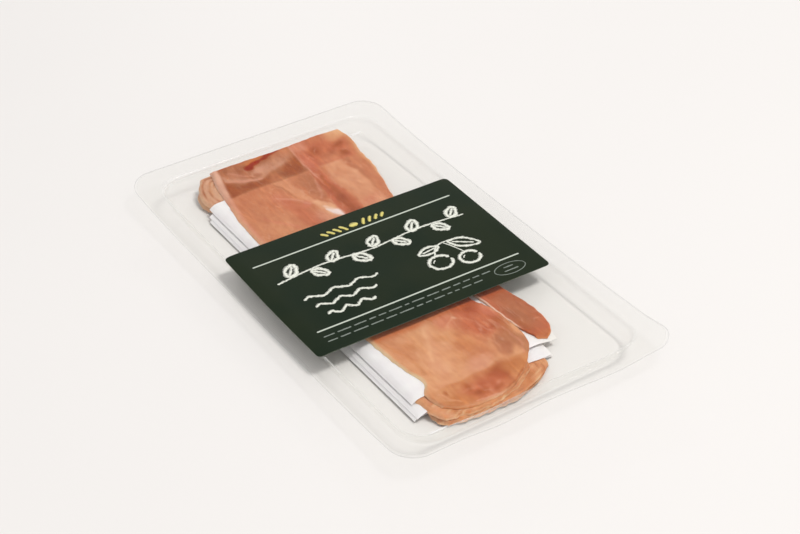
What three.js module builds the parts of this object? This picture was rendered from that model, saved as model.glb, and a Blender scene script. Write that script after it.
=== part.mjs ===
// A sealed pack of sliced dry-cured ham: a clear formed tray with a flat flange, a clear film sealed over it,
// a printed label on the film, and inside a stack of long thin slices with sheets of paper between them.
// X runs across the pack as the label reads, Y along it towards the label's top, Z up. The tray rests on z = 0.
import * as THREE from 'three';

// ---- Driving dimensions, millimetres ----
const PACK = { width: 140, length: 240, corner: 12 };      // outer edge of the flange
const CAVITY = { width: 119, length: 219, corner: 11 };    // inner edge of the flange
const SHEET = 0.5;                                         // wall of the formed tray
const TRAY_HEIGHT = 9.6;                                   // top of the flange above the table
const WALL_DRAFT = 2.1;                                    // how far a wall leans in on its way down
const FLOOR_FILLET = 2.6;
const RIM_FILLET = 0.9;
const FLOOR_CORNER_GROWTH = 1.1;                           // corner radius gained per mm of inset
const FLAT_HALF_LENGTH = 60;                               // the floor lies flat on the table this far out
const BOW_BACK = 2.8;                                      // how far the pack's ends lift off the table
const BOW_FRONT = 1.2;
const FLANGE_DROOP = 1.3;                                  // sag of the long edges between their ends
const GAP = 0.3;                                           // air between pieces that touch
const FILM = { thickness: 0.25, inset: 1.0 };
const LABEL = { width: 121, length: 84, corner: 2.5, thickness: 0.2, x: -1.45, y: -2.8, turn: -1.0 };
const PAPER_THICKNESS = 0.2;
const SLICE_THICKNESS = 0.9;
const BACK_CURL = { start: 88, end: 109, rise: 2.3 };      // the slices climb the tray's back wall
const FRONT_SINK = { start: -80, end: -104, share: 0.25 }; // and sink together in front of the paper
const SWELL = 0.05;                                        // unevenness of the stack, as a share of its height

// Height of the flange's front edge along X above its even level: the sheet is a little wavy there.
const FRONT_WAVE = [[-70, 0.6], [-45, 0.9], [-24, -0.7], [0, 0.5], [37, -1.1], [60, 0.5], [70, 1.8]];
const FRONT_WAVE_REACH = 26;

// Loops round the flange, as insets from the cavity's edge; the film ends at the last but one.
const FLANGE_WIDTH = (PACK.width - CAVITY.width) / 2;
const FLANGE_INSETS = [-0.5 * FLANGE_WIDTH, FILM.inset - FLANGE_WIDTH, -FLANGE_WIDTH];

// Steps of the meshes
const CORNER_STEPS = 5;
const LONG_STEPS = 12;
const SHORT_STEPS = 8;
const SHEET_STEPS = 34;

const clamp01 = (t) => Math.min(1, Math.max(0, t));
const smooth = (from, to, value) => {
  const t = clamp01((value - from) / (to - from));
  return t * t * (3 - 2 * t);
};

// ---- The shape that the whole pack takes ----

// The ends lift off the table as a parabola beyond the flat middle.
function bow(y) {
  const beyond = Math.max(0, Math.abs(y) - FLAT_HALF_LENGTH) / (PACK.length / 2 - FLAT_HALF_LENGTH);
  return (y > 0 ? BOW_BACK : BOW_FRONT) * beyond * beyond;
}

function frontWave(x) {
  const last = FRONT_WAVE.length - 1;
  const index = Math.max(0, FRONT_WAVE.findIndex(([knot]) => knot >= x) - 1);
  const [x0, z0] = FRONT_WAVE[x >= FRONT_WAVE[last][0] ? last - 1 : index];
  const [x1, z1] = FRONT_WAVE[x >= FRONT_WAVE[last][0] ? last : index + 1];
  return z0 + (z1 - z0) * smooth(x0, x1, x);
}

// Beyond the cavity the flange also sags along its sides and waves along its front.
function flangeWarp(x, y) {
  const alongSide = 1 - (y / (PACK.length / 2)) ** 2;
  const side = smooth(CAVITY.width / 2, PACK.width / 2, Math.abs(x));
  const front = smooth(PACK.length / 2 - FRONT_WAVE_REACH, PACK.length / 2, -y);
  return frontWave(x) * front - FLANGE_DROOP * side * alongSide;
}

// ---- Closed solids from rings ----

// One point loop round a rounded rectangle, counter-clockwise seen from above, from the middle of its right side.
// Left and right, front and back points pair up, so that a flat cap can be laid in strips along Y.
function roundedLoop(halfWidth, halfLength, radius, height) {
  const points = [];
  const addCorner = (cx, cy, start) => {
    for (let i = 0; i <= CORNER_STEPS; i += 1) {
      const angle = start + (Math.PI / 2) * (i / CORNER_STEPS);
      points.push([cx + radius * Math.cos(angle), cy + radius * Math.sin(angle)]);
    }
  };
  const addSide = (x0, y0, x1, y1, steps) => {
    for (let i = 1; i < steps; i += 1) {
      points.push([x0 + (x1 - x0) * (i / steps), y0 + (y1 - y0) * (i / steps)]);
    }
  };
  const cx = halfWidth - radius;
  const cy = halfLength - radius;
  addCorner(cx, cy, 0);
  addSide(cx, halfLength, -cx, halfLength, SHORT_STEPS);
  addCorner(-cx, cy, Math.PI / 2);
  addSide(-halfWidth, cy, -halfWidth, -cy, LONG_STEPS);
  addCorner(-cx, -cy, Math.PI);
  addSide(-cx, -halfLength, cx, -halfLength, SHORT_STEPS);
  addCorner(cx, -cy, Math.PI * 1.5);
  addSide(halfWidth, -cy, halfWidth, cy, LONG_STEPS);
  return points.map(([x, y]) => new THREE.Vector3(x, y, height(x, y)));
}

// Strips across a loop from its left side to its right side, with a fan at each end. facing is +1 up, -1 down.
function capStrips(loopStart, facing, indices) {
  const corner = CORNER_STEPS + 1;
  const short = SHORT_STEPS - 1;
  const long = LONG_STEPS - 1;
  const total = 4 * corner + 2 * short + 2 * long;
  const at = (i) => loopStart + ((i + total) % total);
  const triangle = (a, b, c) => indices.push(...(facing > 0 ? [a, b, c] : [a, c, b]));
  const backRight = corner - 1;
  const backLeft = backRight + short + 1;
  // rungs from the back end towards the front end
  const rungs = 2 * (corner - 1) + long + 1;
  for (let k = 1; k < rungs - 1; k += 1) {
    const left0 = at(backLeft + k);
    const left1 = at(backLeft + k + 1);
    const right0 = at(backRight - k);
    const right1 = at(backRight - k - 1);
    triangle(left0, left1, right1);
    triangle(left0, right1, right0);
  }
  const endFan = (first, leftApex, rightApex) => {
    const middle = Math.floor((short + 1) / 2);
    for (let i = 0; i <= short; i += 1) {
      triangle(at(first + i), at(first + i + 1), i < middle ? rightApex : leftApex);
    }
    triangle(at(first + middle), leftApex, rightApex);
  };
  endFan(backRight, at(backLeft + 1), at(backRight - 1));
  const frontLeft = backLeft + rungs;
  endFan(frontLeft, at(frontLeft + short + 2), at(frontLeft - 1));
}

// A body whose skin runs through the loops in order, from the underside's middle out and back over the top.
// Each quad is split from its inner loop's first point, on the way out as on the way back.
function bodyFromLoops(loops) {
  const count = loops[0].length;
  const turning = loops.length / 2 - 1;
  const positions = loops.flat().flatMap((p) => [p.x, p.y, p.z]);
  const indices = [];
  for (let ring = 0; ring < loops.length - 1; ring += 1) {
    for (let i = 0; i < count; i += 1) {
      const a = ring * count + i;
      const b = ring * count + ((i + 1) % count);
      if (ring <= turning) {
        indices.push(a, b, b + count, a, b + count, a + count);
      } else {
        indices.push(a, b, a + count, b, b + count, a + count);
      }
    }
  }
  capStrips(0, -1, indices);
  capStrips((loops.length - 1) * count, 1, indices);
  return geometryOf(positions, indices);
}

function geometryOf(positions, indices) {
  const geometry = new THREE.BufferGeometry();
  geometry.setAttribute('position', new THREE.Float32BufferAttribute(positions, 3));
  geometry.setIndex(indices);
  geometry.computeVertexNormals();
  return geometry;
}

// ---- Tray and film ----

// The middle of the sheet as [inset from the cavity's edge, height], from the floor out to the flange's edge.
function trayProfile() {
  const floorZ = SHEET / 2;
  const profile = [[WALL_DRAFT + 2 * FLOOR_FILLET, floorZ]];
  const flangeZ = TRAY_HEIGHT - SHEET / 2;
  const arcSteps = 3;
  for (let i = 0; i <= arcSteps; i += 1) {
    const angle = (Math.PI / 2) * (i / arcSteps);
    profile.push([
      WALL_DRAFT + FLOOR_FILLET * (1 - Math.sin(angle)),
      floorZ + FLOOR_FILLET * (1 - Math.cos(angle)),
    ]);
  }
  for (let i = 0; i <= arcSteps; i += 1) {
    const angle = (Math.PI / 2) * (i / arcSteps);
    profile.push([
      -RIM_FILLET * (1 - Math.cos(angle)),
      flangeZ - RIM_FILLET * (1 - Math.sin(angle)),
    ]);
  }
  FLANGE_INSETS.forEach((inset) => profile.push([inset, flangeZ]));
  return profile;
}

// Moves a profile sideways by a distance, along the mean of its neighbouring directions.
function offsetProfile(profile, distance) {
  return profile.map(([inset, z], i) => {
    const [i0, z0] = profile[Math.max(0, i - 1)];
    const [i1, z1] = profile[Math.min(profile.length - 1, i + 1)];
    const length = Math.hypot(i1 - i0, z1 - z0);
    return [inset + ((z1 - z0) / length) * distance, z - ((i1 - i0) / length) * distance];
  });
}

// The corners are rounder towards the floor, and blend to the flange's own corner outside the cavity.
function cornerRadius(inset) {
  if (inset >= 0) {
    return CAVITY.corner + inset * FLOOR_CORNER_GROWTH;
  }
  return CAVITY.corner + (PACK.corner - CAVITY.corner) * (-inset / FLANGE_WIDTH);
}

function packLoop(inset, z) {
  const warped = smooth(FLOOR_FILLET, TRAY_HEIGHT - RIM_FILLET, z);
  const height = (x, y) => z + bow(y) + flangeWarp(x, y) * warped;
  return roundedLoop(CAVITY.width / 2 - inset, CAVITY.length / 2 - inset, cornerRadius(inset), height);
}

function trayGeometry() {
  const profile = trayProfile();
  const under = offsetProfile(profile, -SHEET / 2).map(([inset, z]) => packLoop(inset, z));
  const over = offsetProfile(profile, SHEET / 2).map(([inset, z]) => packLoop(inset, z));
  return bodyFromLoops([...under, ...over.reverse()]);
}

const filmUnder = TRAY_HEIGHT + GAP;
const filmTop = filmUnder + FILM.thickness;

function filmGeometry() {
  const waveEnd = (CAVITY.length - PACK.length) / 2 + FRONT_WAVE_REACH;
  const insets = [waveEnd, waveEnd / 2, 0, -RIM_FILLET, ...FLANGE_INSETS.slice(0, -1)];
  const loops = [filmUnder, filmTop].map((z) => insets.map((inset) => packLoop(inset, z)));
  return bodyFromLoops([...loops[0], ...loops[1].reverse()]);
}

// ---- Thin sheets laid on a grid ----

// A sheet with its faces at lower(x, y) and upper(x, y), both split into triangles alike.
// place(u, v) gives the point [x, y] for u across and v along, each from 0 to 1.
function sheetGeometry(place, lower, upper, across, along) {
  const positions = [];
  const indices = [];
  const row = across + 1;
  const layer = row * (along + 1);
  [lower, upper].forEach((height) => {
    for (let j = 0; j <= along; j += 1) {
      for (let i = 0; i <= across; i += 1) {
        const [x, y] = place(i / across, j / along);
        positions.push(x, y, height(x, y));
      }
    }
  });
  const quad = (a, b, c, d) => indices.push(a, b, c, a, c, d);
  for (let j = 0; j < along; j += 1) {
    for (let i = 0; i < across; i += 1) {
      const a = j * row + i;
      quad(layer + a, layer + a + 1, layer + a + row + 1, layer + a + row);
      indices.push(a, a + row + 1, a + 1, a, a + row, a + row + 1);
    }
  }
  for (let i = 0; i < across; i += 1) {
    const front = i;
    const back = along * row + i;
    quad(front, front + 1, layer + front + 1, layer + front);
    quad(back + 1, back, layer + back, layer + back + 1);
  }
  for (let j = 0; j < along; j += 1) {
    const left = j * row;
    const right = j * row + across;
    quad(left + row, left, layer + left, layer + left + row);
    quad(right, right + row, layer + right + row, layer + right);
  }
  return geometryOf(positions, indices);
}

// A smooth patch between four edge curves, each through its own few points.
function patchBetween({ front, back, left, right }) {
  const curve = (points) => new THREE.SplineCurve(points.map(([x, y]) => new THREE.Vector2(x, y)));
  const corners = { fl: front[0], fr: front.at(-1), bl: back[0], br: back.at(-1) };
  const edge = {
    front: curve(front),
    back: curve(back),
    left: curve([corners.fl, ...left, corners.bl]),
    right: curve([corners.fr, ...right, corners.br]),
  };
  return (u, v) => {
    const f = edge.front.getPointAt(u);
    const b = edge.back.getPointAt(u);
    const l = edge.left.getPointAt(v);
    const r = edge.right.getPointAt(v);
    const blend = (k, fk, bk) => (
      (1 - v) * fk + v * bk + (1 - u) * (k === 0 ? l.x : l.y) + u * (k === 0 ? r.x : r.y)
      - (1 - u) * (1 - v) * corners.fl[k] - u * (1 - v) * corners.fr[k]
      - (1 - u) * v * corners.bl[k] - u * v * corners.br[k]
    );
    return [blend(0, f.x, b.x), blend(1, f.y, b.y)];
  };
}

// ---- The stack in the tray, from the floor up ----

function sheetOfPaper(left, right, front, back) {
  return (u, v) => [left + (right - left) * u, front + (back - front) * v];
}

const fourthSlice = patchBetween({
  front: [[-36.5, -101], [-27, -104], [-12, -101.8], [3, -98.6], [19, -90.3]],
  right: [[24, -78], [26, 0], [30, 80]],
  back: [[-35.5, 102], [0, 104.2], [31, 102.8]],
  left: [[-40.5, -88], [-43, -40], [-43, 40], [-42, 80], [-40.5, 93]],
});
const thirdSlice = patchBetween({
  front: [[-38, -102.5], [-28, -104.6], [-14, -103.6], [0.3, -100.9], [12.2, -97.3], [18.3, -92.6]],
  right: [[22.8, -84], [27, 0], [33, 80]],
  back: [[-36, 103.5], [0, 105.2], [34, 103.8]],
  left: [[-40.6, -96], [-42, -40], [-42, 50], [-44, 91], [-41.3, 100]],
});
const secondSlice = patchBetween({
  front: [[-38.2, -101], [-20, -103.4], [-2, -101], [10.5, -93.5]],
  right: [[15.5, -80], [29, 0], [37, 82]],
  back: [[-34, 105.6], [0, 106.4], [36, 105]],
  left: [[-41.2, -92], [-41.3, -50], [-41.5, 50], [-42.8, 87.5], [-41, 98.3]],
});
const wideTopSlice = patchBetween({
  front: [[-34.8, -95.6], [-25.7, -101], [-11.7, -101.8], [0.3, -99], [11.3, -91]],
  right: [[18.8, -81], [20.8, -60], [17, -47], [14, 0], [9.4, 50], [12.4, 80]],
  back: [[-31.8, 106.4], [-15, 106.6], [0, 106.6], [11.5, 106.4]],
  left: [[-37.1, -85], [-33, -76], [-36.3, -52], [-39.2, 45], [-35.1, 86], [-33.4, 99]],
});
const topStrip = patchBetween({
  front: [[25.3, -81.4], [28.8, -82.6], [32.2, -80.6]],
  right: [[36.4, -64], [33.6, -40], [32.4, 10], [35.8, 51], [41.4, 81], [43, 98]],
  back: [[12.6, 106.4], [25, 106.4], [40.4, 105.8]],
  left: [[22.5, -72], [21.6, -50], [15.2, 0], [10.6, 50], [13.6, 80]],
});

const STACK = [
  { name: 'ham_slice_4', kind: 'ham', place: fourthSlice, across: 7 },
  { name: 'paper_sheet_3', kind: 'paper', place: sheetOfPaper(-46.8, 30.5, -90.8, 81), across: 4 },
  { name: 'ham_slice_3', kind: 'ham', place: thirdSlice, across: 7 },
  { name: 'paper_sheet_2', kind: 'paper', place: sheetOfPaper(-46, 28.3, -91.6, 83.4), across: 4 },
  { name: 'ham_slice_2', kind: 'ham', place: secondSlice, across: 7 },
  { name: 'paper_sheet_1', kind: 'paper', place: sheetOfPaper(-44.2, 35.2, -84.8, 86.4), across: 4 },
  { name: 'ham_slice_1_wide', kind: 'ham', place: wideTopSlice, across: 7 },
  { name: 'ham_slice_1_strip', kind: 'ham', place: topStrip, beside: true, across: 4 },
];

const THICKNESS = { ham: SLICE_THICKNESS, paper: PAPER_THICKNESS };

// From a level in the stack to a height: on the bowed floor, a little uneven, sinking together in front of the
// paper, and climbing the back wall.
function stackHeight(level, x, y) {
  const uneven = Math.sin(x / 9.5 + y / 23) * Math.cos(y / 17 - x / 31);
  const sunk = 1 - FRONT_SINK.share * smooth(-FRONT_SINK.start, -FRONT_SINK.end, -y);
  const climb = BACK_CURL.rise * smooth(BACK_CURL.start, BACK_CURL.end, y);
  return SHEET + level * sunk * (1 + SWELL * uneven) + bow(y) + climb;
}

// Lays the sheets one on another, each a gap above the last. One that lies beside another shares its level.
function layStack() {
  let level = 0;
  return STACK.map(({ name, kind, place, beside, across }) => {
    const under = beside ? level - THICKNESS[kind] : level + GAP;
    level = under + THICKNESS[kind];
    const top = level;
    const lower = (x, y) => stackHeight(under, x, y);
    const upper = (x, y) => stackHeight(top, x, y);
    return { name, kind, geometry: sheetGeometry(place, lower, upper, across, SHEET_STEPS) };
  });
}

// ---- Label ----

function labelGeometry() {
  const turn = THREE.MathUtils.degToRad(LABEL.turn);
  // A square grid pressed into a rectangle with rounded corners: only the corner points move in.
  const place = (u, v) => {
    let x = (u - 0.5) * LABEL.width;
    let y = (v - 0.5) * LABEL.length;
    if ((u === 0 || u === 1) && (v === 0 || v === 1)) {
      const cut = LABEL.corner * (1 - Math.SQRT1_2);
      x -= Math.sign(x) * cut;
      y -= Math.sign(y) * cut;
    }
    return [
      LABEL.x + x * Math.cos(turn) - y * Math.sin(turn),
      LABEL.y + x * Math.sin(turn) + y * Math.cos(turn),
    ];
  };
  const under = filmTop + GAP;
  const lower = (x, y) => under + bow(y) + flangeWarp(x, y);
  const upper = (x, y) => lower(x, y) + LABEL.thickness;
  return sheetGeometry(place, lower, upper, 12, 8);
}

// ---- Materials and assembly ----

const clearPlastic = new THREE.MeshStandardMaterial({
  color: 0xeef0ee, roughness: 0.08, metalness: 0, transparent: true, opacity: 0.25,
});
const darkGreenPrint = new THREE.MeshStandardMaterial({ color: 0x26322a, roughness: 0.3, metalness: 0 });
const whitePaper = new THREE.MeshStandardMaterial({ color: 0xeee8f0, roughness: 0.8, metalness: 0 });
const curedHam = new THREE.MeshStandardMaterial({ color: 0xc87d5c, roughness: 0.4, metalness: 0 });

const pack = new THREE.Group();

function addPiece(name, geometry, material) {
  const mesh = new THREE.Mesh(geometry, material);
  mesh.name = name;
  pack.add(mesh);
}

addPiece('tray', trayGeometry(), clearPlastic);
addPiece('lid_film', filmGeometry(), clearPlastic);
addPiece('label', labelGeometry(), darkGreenPrint);
layStack().forEach(({ name, kind, geometry }) => {
  addPiece(name, geometry, kind === 'ham' ? curedHam : whitePaper);
});

export default pack;
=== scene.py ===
"""The looks of a sealed pack of sliced cured ham: a clear formed tray with a clear film over it, a
printed label on the film, and inside it a stack of long thin slices with sheets of white paper between
them.

Lengths are millimetres until a mesh is made. X runs across the pack as the label reads, Y along it
towards the label's top, and Z up from the table, as in the solids that this script dresses."""

import math

import bmesh
import bpy
import numpy as np
from mathutils import Matrix, Vector


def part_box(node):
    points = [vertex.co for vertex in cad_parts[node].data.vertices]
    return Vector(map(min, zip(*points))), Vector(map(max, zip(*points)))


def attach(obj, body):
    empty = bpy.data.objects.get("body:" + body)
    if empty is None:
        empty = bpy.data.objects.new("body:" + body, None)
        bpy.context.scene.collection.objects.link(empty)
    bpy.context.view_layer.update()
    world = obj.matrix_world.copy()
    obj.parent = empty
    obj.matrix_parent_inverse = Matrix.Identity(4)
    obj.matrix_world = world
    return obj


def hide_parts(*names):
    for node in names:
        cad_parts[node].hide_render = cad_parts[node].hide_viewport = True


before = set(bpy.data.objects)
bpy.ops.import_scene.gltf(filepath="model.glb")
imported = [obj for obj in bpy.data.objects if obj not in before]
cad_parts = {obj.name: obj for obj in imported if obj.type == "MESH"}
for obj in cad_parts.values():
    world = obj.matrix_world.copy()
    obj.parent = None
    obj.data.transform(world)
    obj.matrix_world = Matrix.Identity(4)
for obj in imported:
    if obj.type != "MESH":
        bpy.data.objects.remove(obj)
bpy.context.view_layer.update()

MM = 0.001
BODY = "root"


def solid_box(node):
    """Lowest and highest corner of a solid, in millimetres."""
    low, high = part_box(node)
    return np.array(low) / MM, np.array(high) / MM


# ---- Sizes of the pack, as in its solids ----

HALF_WIDTH, HALF_LENGTH = solid_box("tray")[1][:2]
FILM_EDGE = HALF_WIDTH - solid_box("lid_film")[1][0]
FLANGE_WIDTH = 10.5
CAVITY_HALF_WIDTH = HALF_WIDTH - FLANGE_WIDTH
CAVITY_HALF_LENGTH = HALF_LENGTH - FLANGE_WIDTH
# Corner radii outside and at the cavity's edge, and what each millimetre further in adds.
FLANGE_CORNER = 12
CAVITY_CORNER = 11
FLOOR_CORNER_GROWTH = 1.1
# The formed sheet: its thickness, its height, how far its walls lean in, and the radii that bend it.
SHEET = 0.5
TRAY_HEIGHT = 9.6
WALL_DRAFT = 2.1
FLOOR_FILLET = 2.6
RIM_FILLET = 0.9
# The warp: the flat middle, how far each end lifts, how far the sides sag, and the front edge's wave.
FLAT_HALF_LENGTH = 60
BOW_BACK = 2.8
BOW_FRONT = 1.2
FLANGE_DROOP = 1.3
FRONT_WAVE_X = np.array([-70, -45, -24, 0, 37, 60, 70])
FRONT_WAVE_Z = np.array([0.6, 0.9, -0.7, 0.5, -1.1, 0.5, 1.8])
FRONT_WAVE_REACH = 26
# What lies on the tray and in it. Past the papers' two ends, meat lies on meat.
GAP = 0.3
FILM_THICKNESS = 0.25
LABEL_THICKNESS = 0.2
LABEL_SIZE = np.array([121, 84])
LABEL_CENTRE = np.array([-1.45, -2.8])
LABEL_TURN = math.radians(-1.0)
LABEL_CORNER = 2.5
PAPER_THICKNESS = 0.2
SLICE_THICKNESS = 0.9
PAPER_ENDS = (-85.4, 84.8)


# ---- Arithmetic on arrays ----

LATTICE = 64
LATTICE_SHIFT = 1000
SPAN_STEPS = 24


def smooth(start, end, value):
    """0 before start, 1 after end, and 3t^2 - 2t^3 between them, t being the share of the way."""
    t = np.clip((value - start) / (end - start), 0, 1)
    return t * t * (3 - 2 * t)


def noise(x, y, size, seed):
    """Uneven values from -1 to 1 that change over about size millimetres: a lattice of seeded random
    numbers, blended between its corners by the smooth step."""
    lattice = np.random.default_rng(seed).uniform(-1, 1, (LATTICE, LATTICE))
    across = np.asarray(x, float) / size + LATTICE_SHIFT
    along = np.asarray(y, float) / size + LATTICE_SHIFT
    i = np.floor(across).astype(int)
    j = np.floor(along).astype(int)
    s = smooth(0, 1, across - i)
    t = smooth(0, 1, along - j)
    here, there = i % LATTICE, (i + 1) % LATTICE
    row, next_row = j % LATTICE, (j + 1) % LATTICE
    near = lattice[here, row] * (1 - s) + lattice[there, row] * s
    far = lattice[here, next_row] * (1 - s) + lattice[there, next_row] * s
    return near * (1 - t) + far * t


def spline(points):
    """A smooth curve through points, as a function of the share of its length: each span is the cubic
    whose slope at a point is half the step between that point's neighbours."""
    knots = np.asarray(points, float)
    padded = np.concatenate([knots[:1], knots, knots[-1:]])
    t = np.linspace(0, 1, SPAN_STEPS, endpoint=False)[:, None]
    spans = []
    for p0, p1, p2, p3 in zip(padded, padded[1:], padded[2:], padded[3:]):
        slope1 = (p2 - p0) / 2
        slope2 = (p3 - p1) / 2
        spans.append(p1 + slope1 * t + (3 * (p2 - p1) - 2 * slope1 - slope2) * t**2
                     + (2 * (p1 - p2) + slope1 + slope2) * t**3)
    curve = np.concatenate([*spans, knots[-1:]])
    steps = np.linalg.norm(np.diff(curve[:, :2], axis=0), axis=1)
    share = np.concatenate([[0], np.cumsum(steps)]) / steps.sum()
    return lambda u: np.stack([np.interp(u, share, column) for column in curve.T], -1)


# ---- The shape that the whole pack takes ----

def bow(y):
    """The ends lift off the table as a parabola beyond the flat middle."""
    beyond = np.maximum(0, np.abs(y) - FLAT_HALF_LENGTH) / (HALF_LENGTH - FLAT_HALF_LENGTH)
    return np.where(y > 0, BOW_BACK, BOW_FRONT) * beyond**2


def front_wave(x):
    """Height of the flange's wavy front edge: smooth steps between the knots."""
    span = np.clip(np.searchsorted(FRONT_WAVE_X, x) - 1, 0, len(FRONT_WAVE_X) - 2)
    share = smooth(FRONT_WAVE_X[span], FRONT_WAVE_X[span + 1], x)
    return FRONT_WAVE_Z[span] * (1 - share) + FRONT_WAVE_Z[span + 1] * share


def flange_warp(x, y):
    """Beyond the cavity the flange sags along its sides, most in mid-length as 1 - (y / L)^2, and the
    front edge's wave fades out behind it."""
    side = smooth(CAVITY_HALF_WIDTH, HALF_WIDTH, np.abs(x)) * (1 - (y / HALF_LENGTH) ** 2)
    front = smooth(HALF_LENGTH - FRONT_WAVE_REACH, HALF_LENGTH, -y)
    return front_wave(x) * front - FLANGE_DROOP * side


# ---- Meshes ----

def mesh_piece(name, points, quads, finish, crease=40, triangles=()):
    """A piece at the origin from an array of points and arrays of four-cornered and three-cornered faces.
    Edges that turn by more than crease degrees stay sharp."""
    mesh = bpy.data.meshes.new(name)
    points = np.asarray(points, float).reshape(-1, 3)
    quads = np.asarray(quads, np.int32).reshape(-1, 4)
    triangles = np.asarray(triangles, np.int32).reshape(-1, 3)
    corners = np.concatenate([quads.ravel(), triangles.ravel()])
    starts = np.concatenate([np.arange(len(quads)) * 4, quads.size + np.arange(len(triangles)) * 3])
    mesh.vertices.add(len(points))
    mesh.vertices.foreach_set("co", (points * MM).ravel())
    mesh.loops.add(len(corners))
    mesh.loops.foreach_set("vertex_index", corners)
    mesh.polygons.add(len(starts))
    mesh.polygons.foreach_set("loop_start", starts.astype(np.int32))
    mesh.update(calc_edges=True)
    mesh.shade_smooth()
    mesh.set_sharp_from_angle(angle=math.radians(crease))
    mesh.materials.append(finish)
    piece = bpy.data.objects.new(name, mesh)
    bpy.context.scene.collection.objects.link(piece)
    return piece


def stands_for(piece, slot, *nodes):
    """The piece rides with the pack and shows in place of solids. Its slot is not used."""
    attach(piece, BODY)
    if nodes:
        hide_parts(*nodes)


def set_values(piece, name, kind, values):
    """Stores one value for each point of a piece: kind FLOAT or FLOAT_COLOR."""
    key = "value" if kind == "FLOAT" else "color"
    attribute = piece.data.attributes.new(name, kind, "POINT")
    attribute.data.foreach_set(key, np.ascontiguousarray(values, np.float32).ravel())


# ---- Shader arithmetic ----

class Value:
    """A socket of a material's nodes. Arithmetic on it adds Math nodes."""

    def __init__(self, finish, socket):
        self.finish = finish
        self.socket = socket

    def math(self, operation, *others):
        """A Math node on this value and the others, in that order."""
        values = dict(enumerate([self, *others]))
        return self.finish.add("ShaderNodeMath", {"operation": operation}, values)

    def __add__(self, other):
        return self.math("ADD", other)

    def __sub__(self, other):
        return self.math("SUBTRACT", other)

    def __rsub__(self, other):
        return self.finish.add("ShaderNodeMath", {"operation": "SUBTRACT"}, {0: other, 1: self})

    def __mul__(self, other):
        return self.math("MULTIPLY", other)

    def __truediv__(self, other):
        return self.math("DIVIDE", other)

    def __pow__(self, other):
        return self.math("POWER", other)

    __radd__ = __add__
    __rmul__ = __mul__

    def above(self, start, end):
        """0 where the value is under start, 1 over end, and smooth between."""
        settings = {"interpolation_type": "SMOOTHSTEP"}
        return self.finish.add("ShaderNodeMapRange", settings, {0: self, 1: start, 2: end})


class Finish:
    """A material and its nodes."""

    def __init__(self, name):
        self.material = bpy.data.materials.new(name)
        self.material.use_nodes = True
        self.tree = self.material.node_tree
        self.tree.nodes.clear()

    def add(self, kind, settings=None, inputs=None, output=0):
        """A node of a kind: its settings first, then the values or links of its sockets, by name or
        place."""
        node = self.tree.nodes.new(kind)
        for key, setting in (settings or {}).items():
            setattr(node, key, setting)
        for key, value in (inputs or {}).items():
            if isinstance(value, Value):
                self.tree.links.new(value.socket, node.inputs[key])
            else:
                node.inputs[key].default_value = value
        return Value(self, node.outputs[output]) if node.outputs else None

    def place(self):
        """Where a point is, in metres."""
        return self.add("ShaderNodeTexCoord", output="Object")

    def stored(self, name, output="Fac"):
        """What the mesh stores under a name: a number, or a colour from the output Color."""
        return self.add("ShaderNodeAttribute", {"attribute_name": name}, output=output)

    def grain(self, place, size, stretch=(1, 1, 1), detail=2.0, turn=0.0):
        """Noise from 0 to 1 over about size millimetres, drawn out along each axis by stretch, and turned
        about Z by turn in radians."""
        scale = tuple(1 / (size * MM * s) for s in stretch)
        inputs = {"Vector": place, "Rotation": (0, 0, turn), "Scale": scale}
        spot = self.add("ShaderNodeMapping", None, inputs)
        return self.add("ShaderNodeTexNoise", None, {"Vector": spot, "Scale": 1.0, "Detail": detail})

    def blend(self, share, first, second, way="MIX"):
        """Two colours mixed by a share, or the second laid over the first in another way."""
        settings = {"data_type": "RGBA", "blend_type": way}
        return self.add("ShaderNodeMix", settings, {0: share, 6: first, 7: second}, output=2)

    def bump(self, height, depth, strength=1.0):
        """Normal of a surface raised by height times depth millimetres."""
        inputs = {"Strength": strength, "Distance": depth * MM, "Height": height}
        return self.add("ShaderNodeBump", None, inputs)

    def surface(self, **sockets):
        """The plain surface shader, with its sockets by name, words joined by underscores."""
        inputs = {key.replace("_", " "): value for key, value in sockets.items()}
        return self.add("ShaderNodeBsdfPrincipled", None, inputs)

    def show(self, shader):
        """Ends the nodes with a shader and gives the material."""
        self.add("ShaderNodeOutputMaterial", None, {"Surface": shader})
        return self.material


def rgb(red, green, blue):
    """A colour as the eye reads it, each part from 0 to 255, made linear."""
    share = np.array([red, green, blue]) / 255
    linear = np.where(share <= 0.04045, share / 12.92, ((share + 0.055) / 1.055) ** 2.4)
    return (*linear.tolist(), 1.0)


# Half width of each painted glint line on the film, in millimetres.
GLINT_LINE_HALF_WIDTH = 0.6


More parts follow.
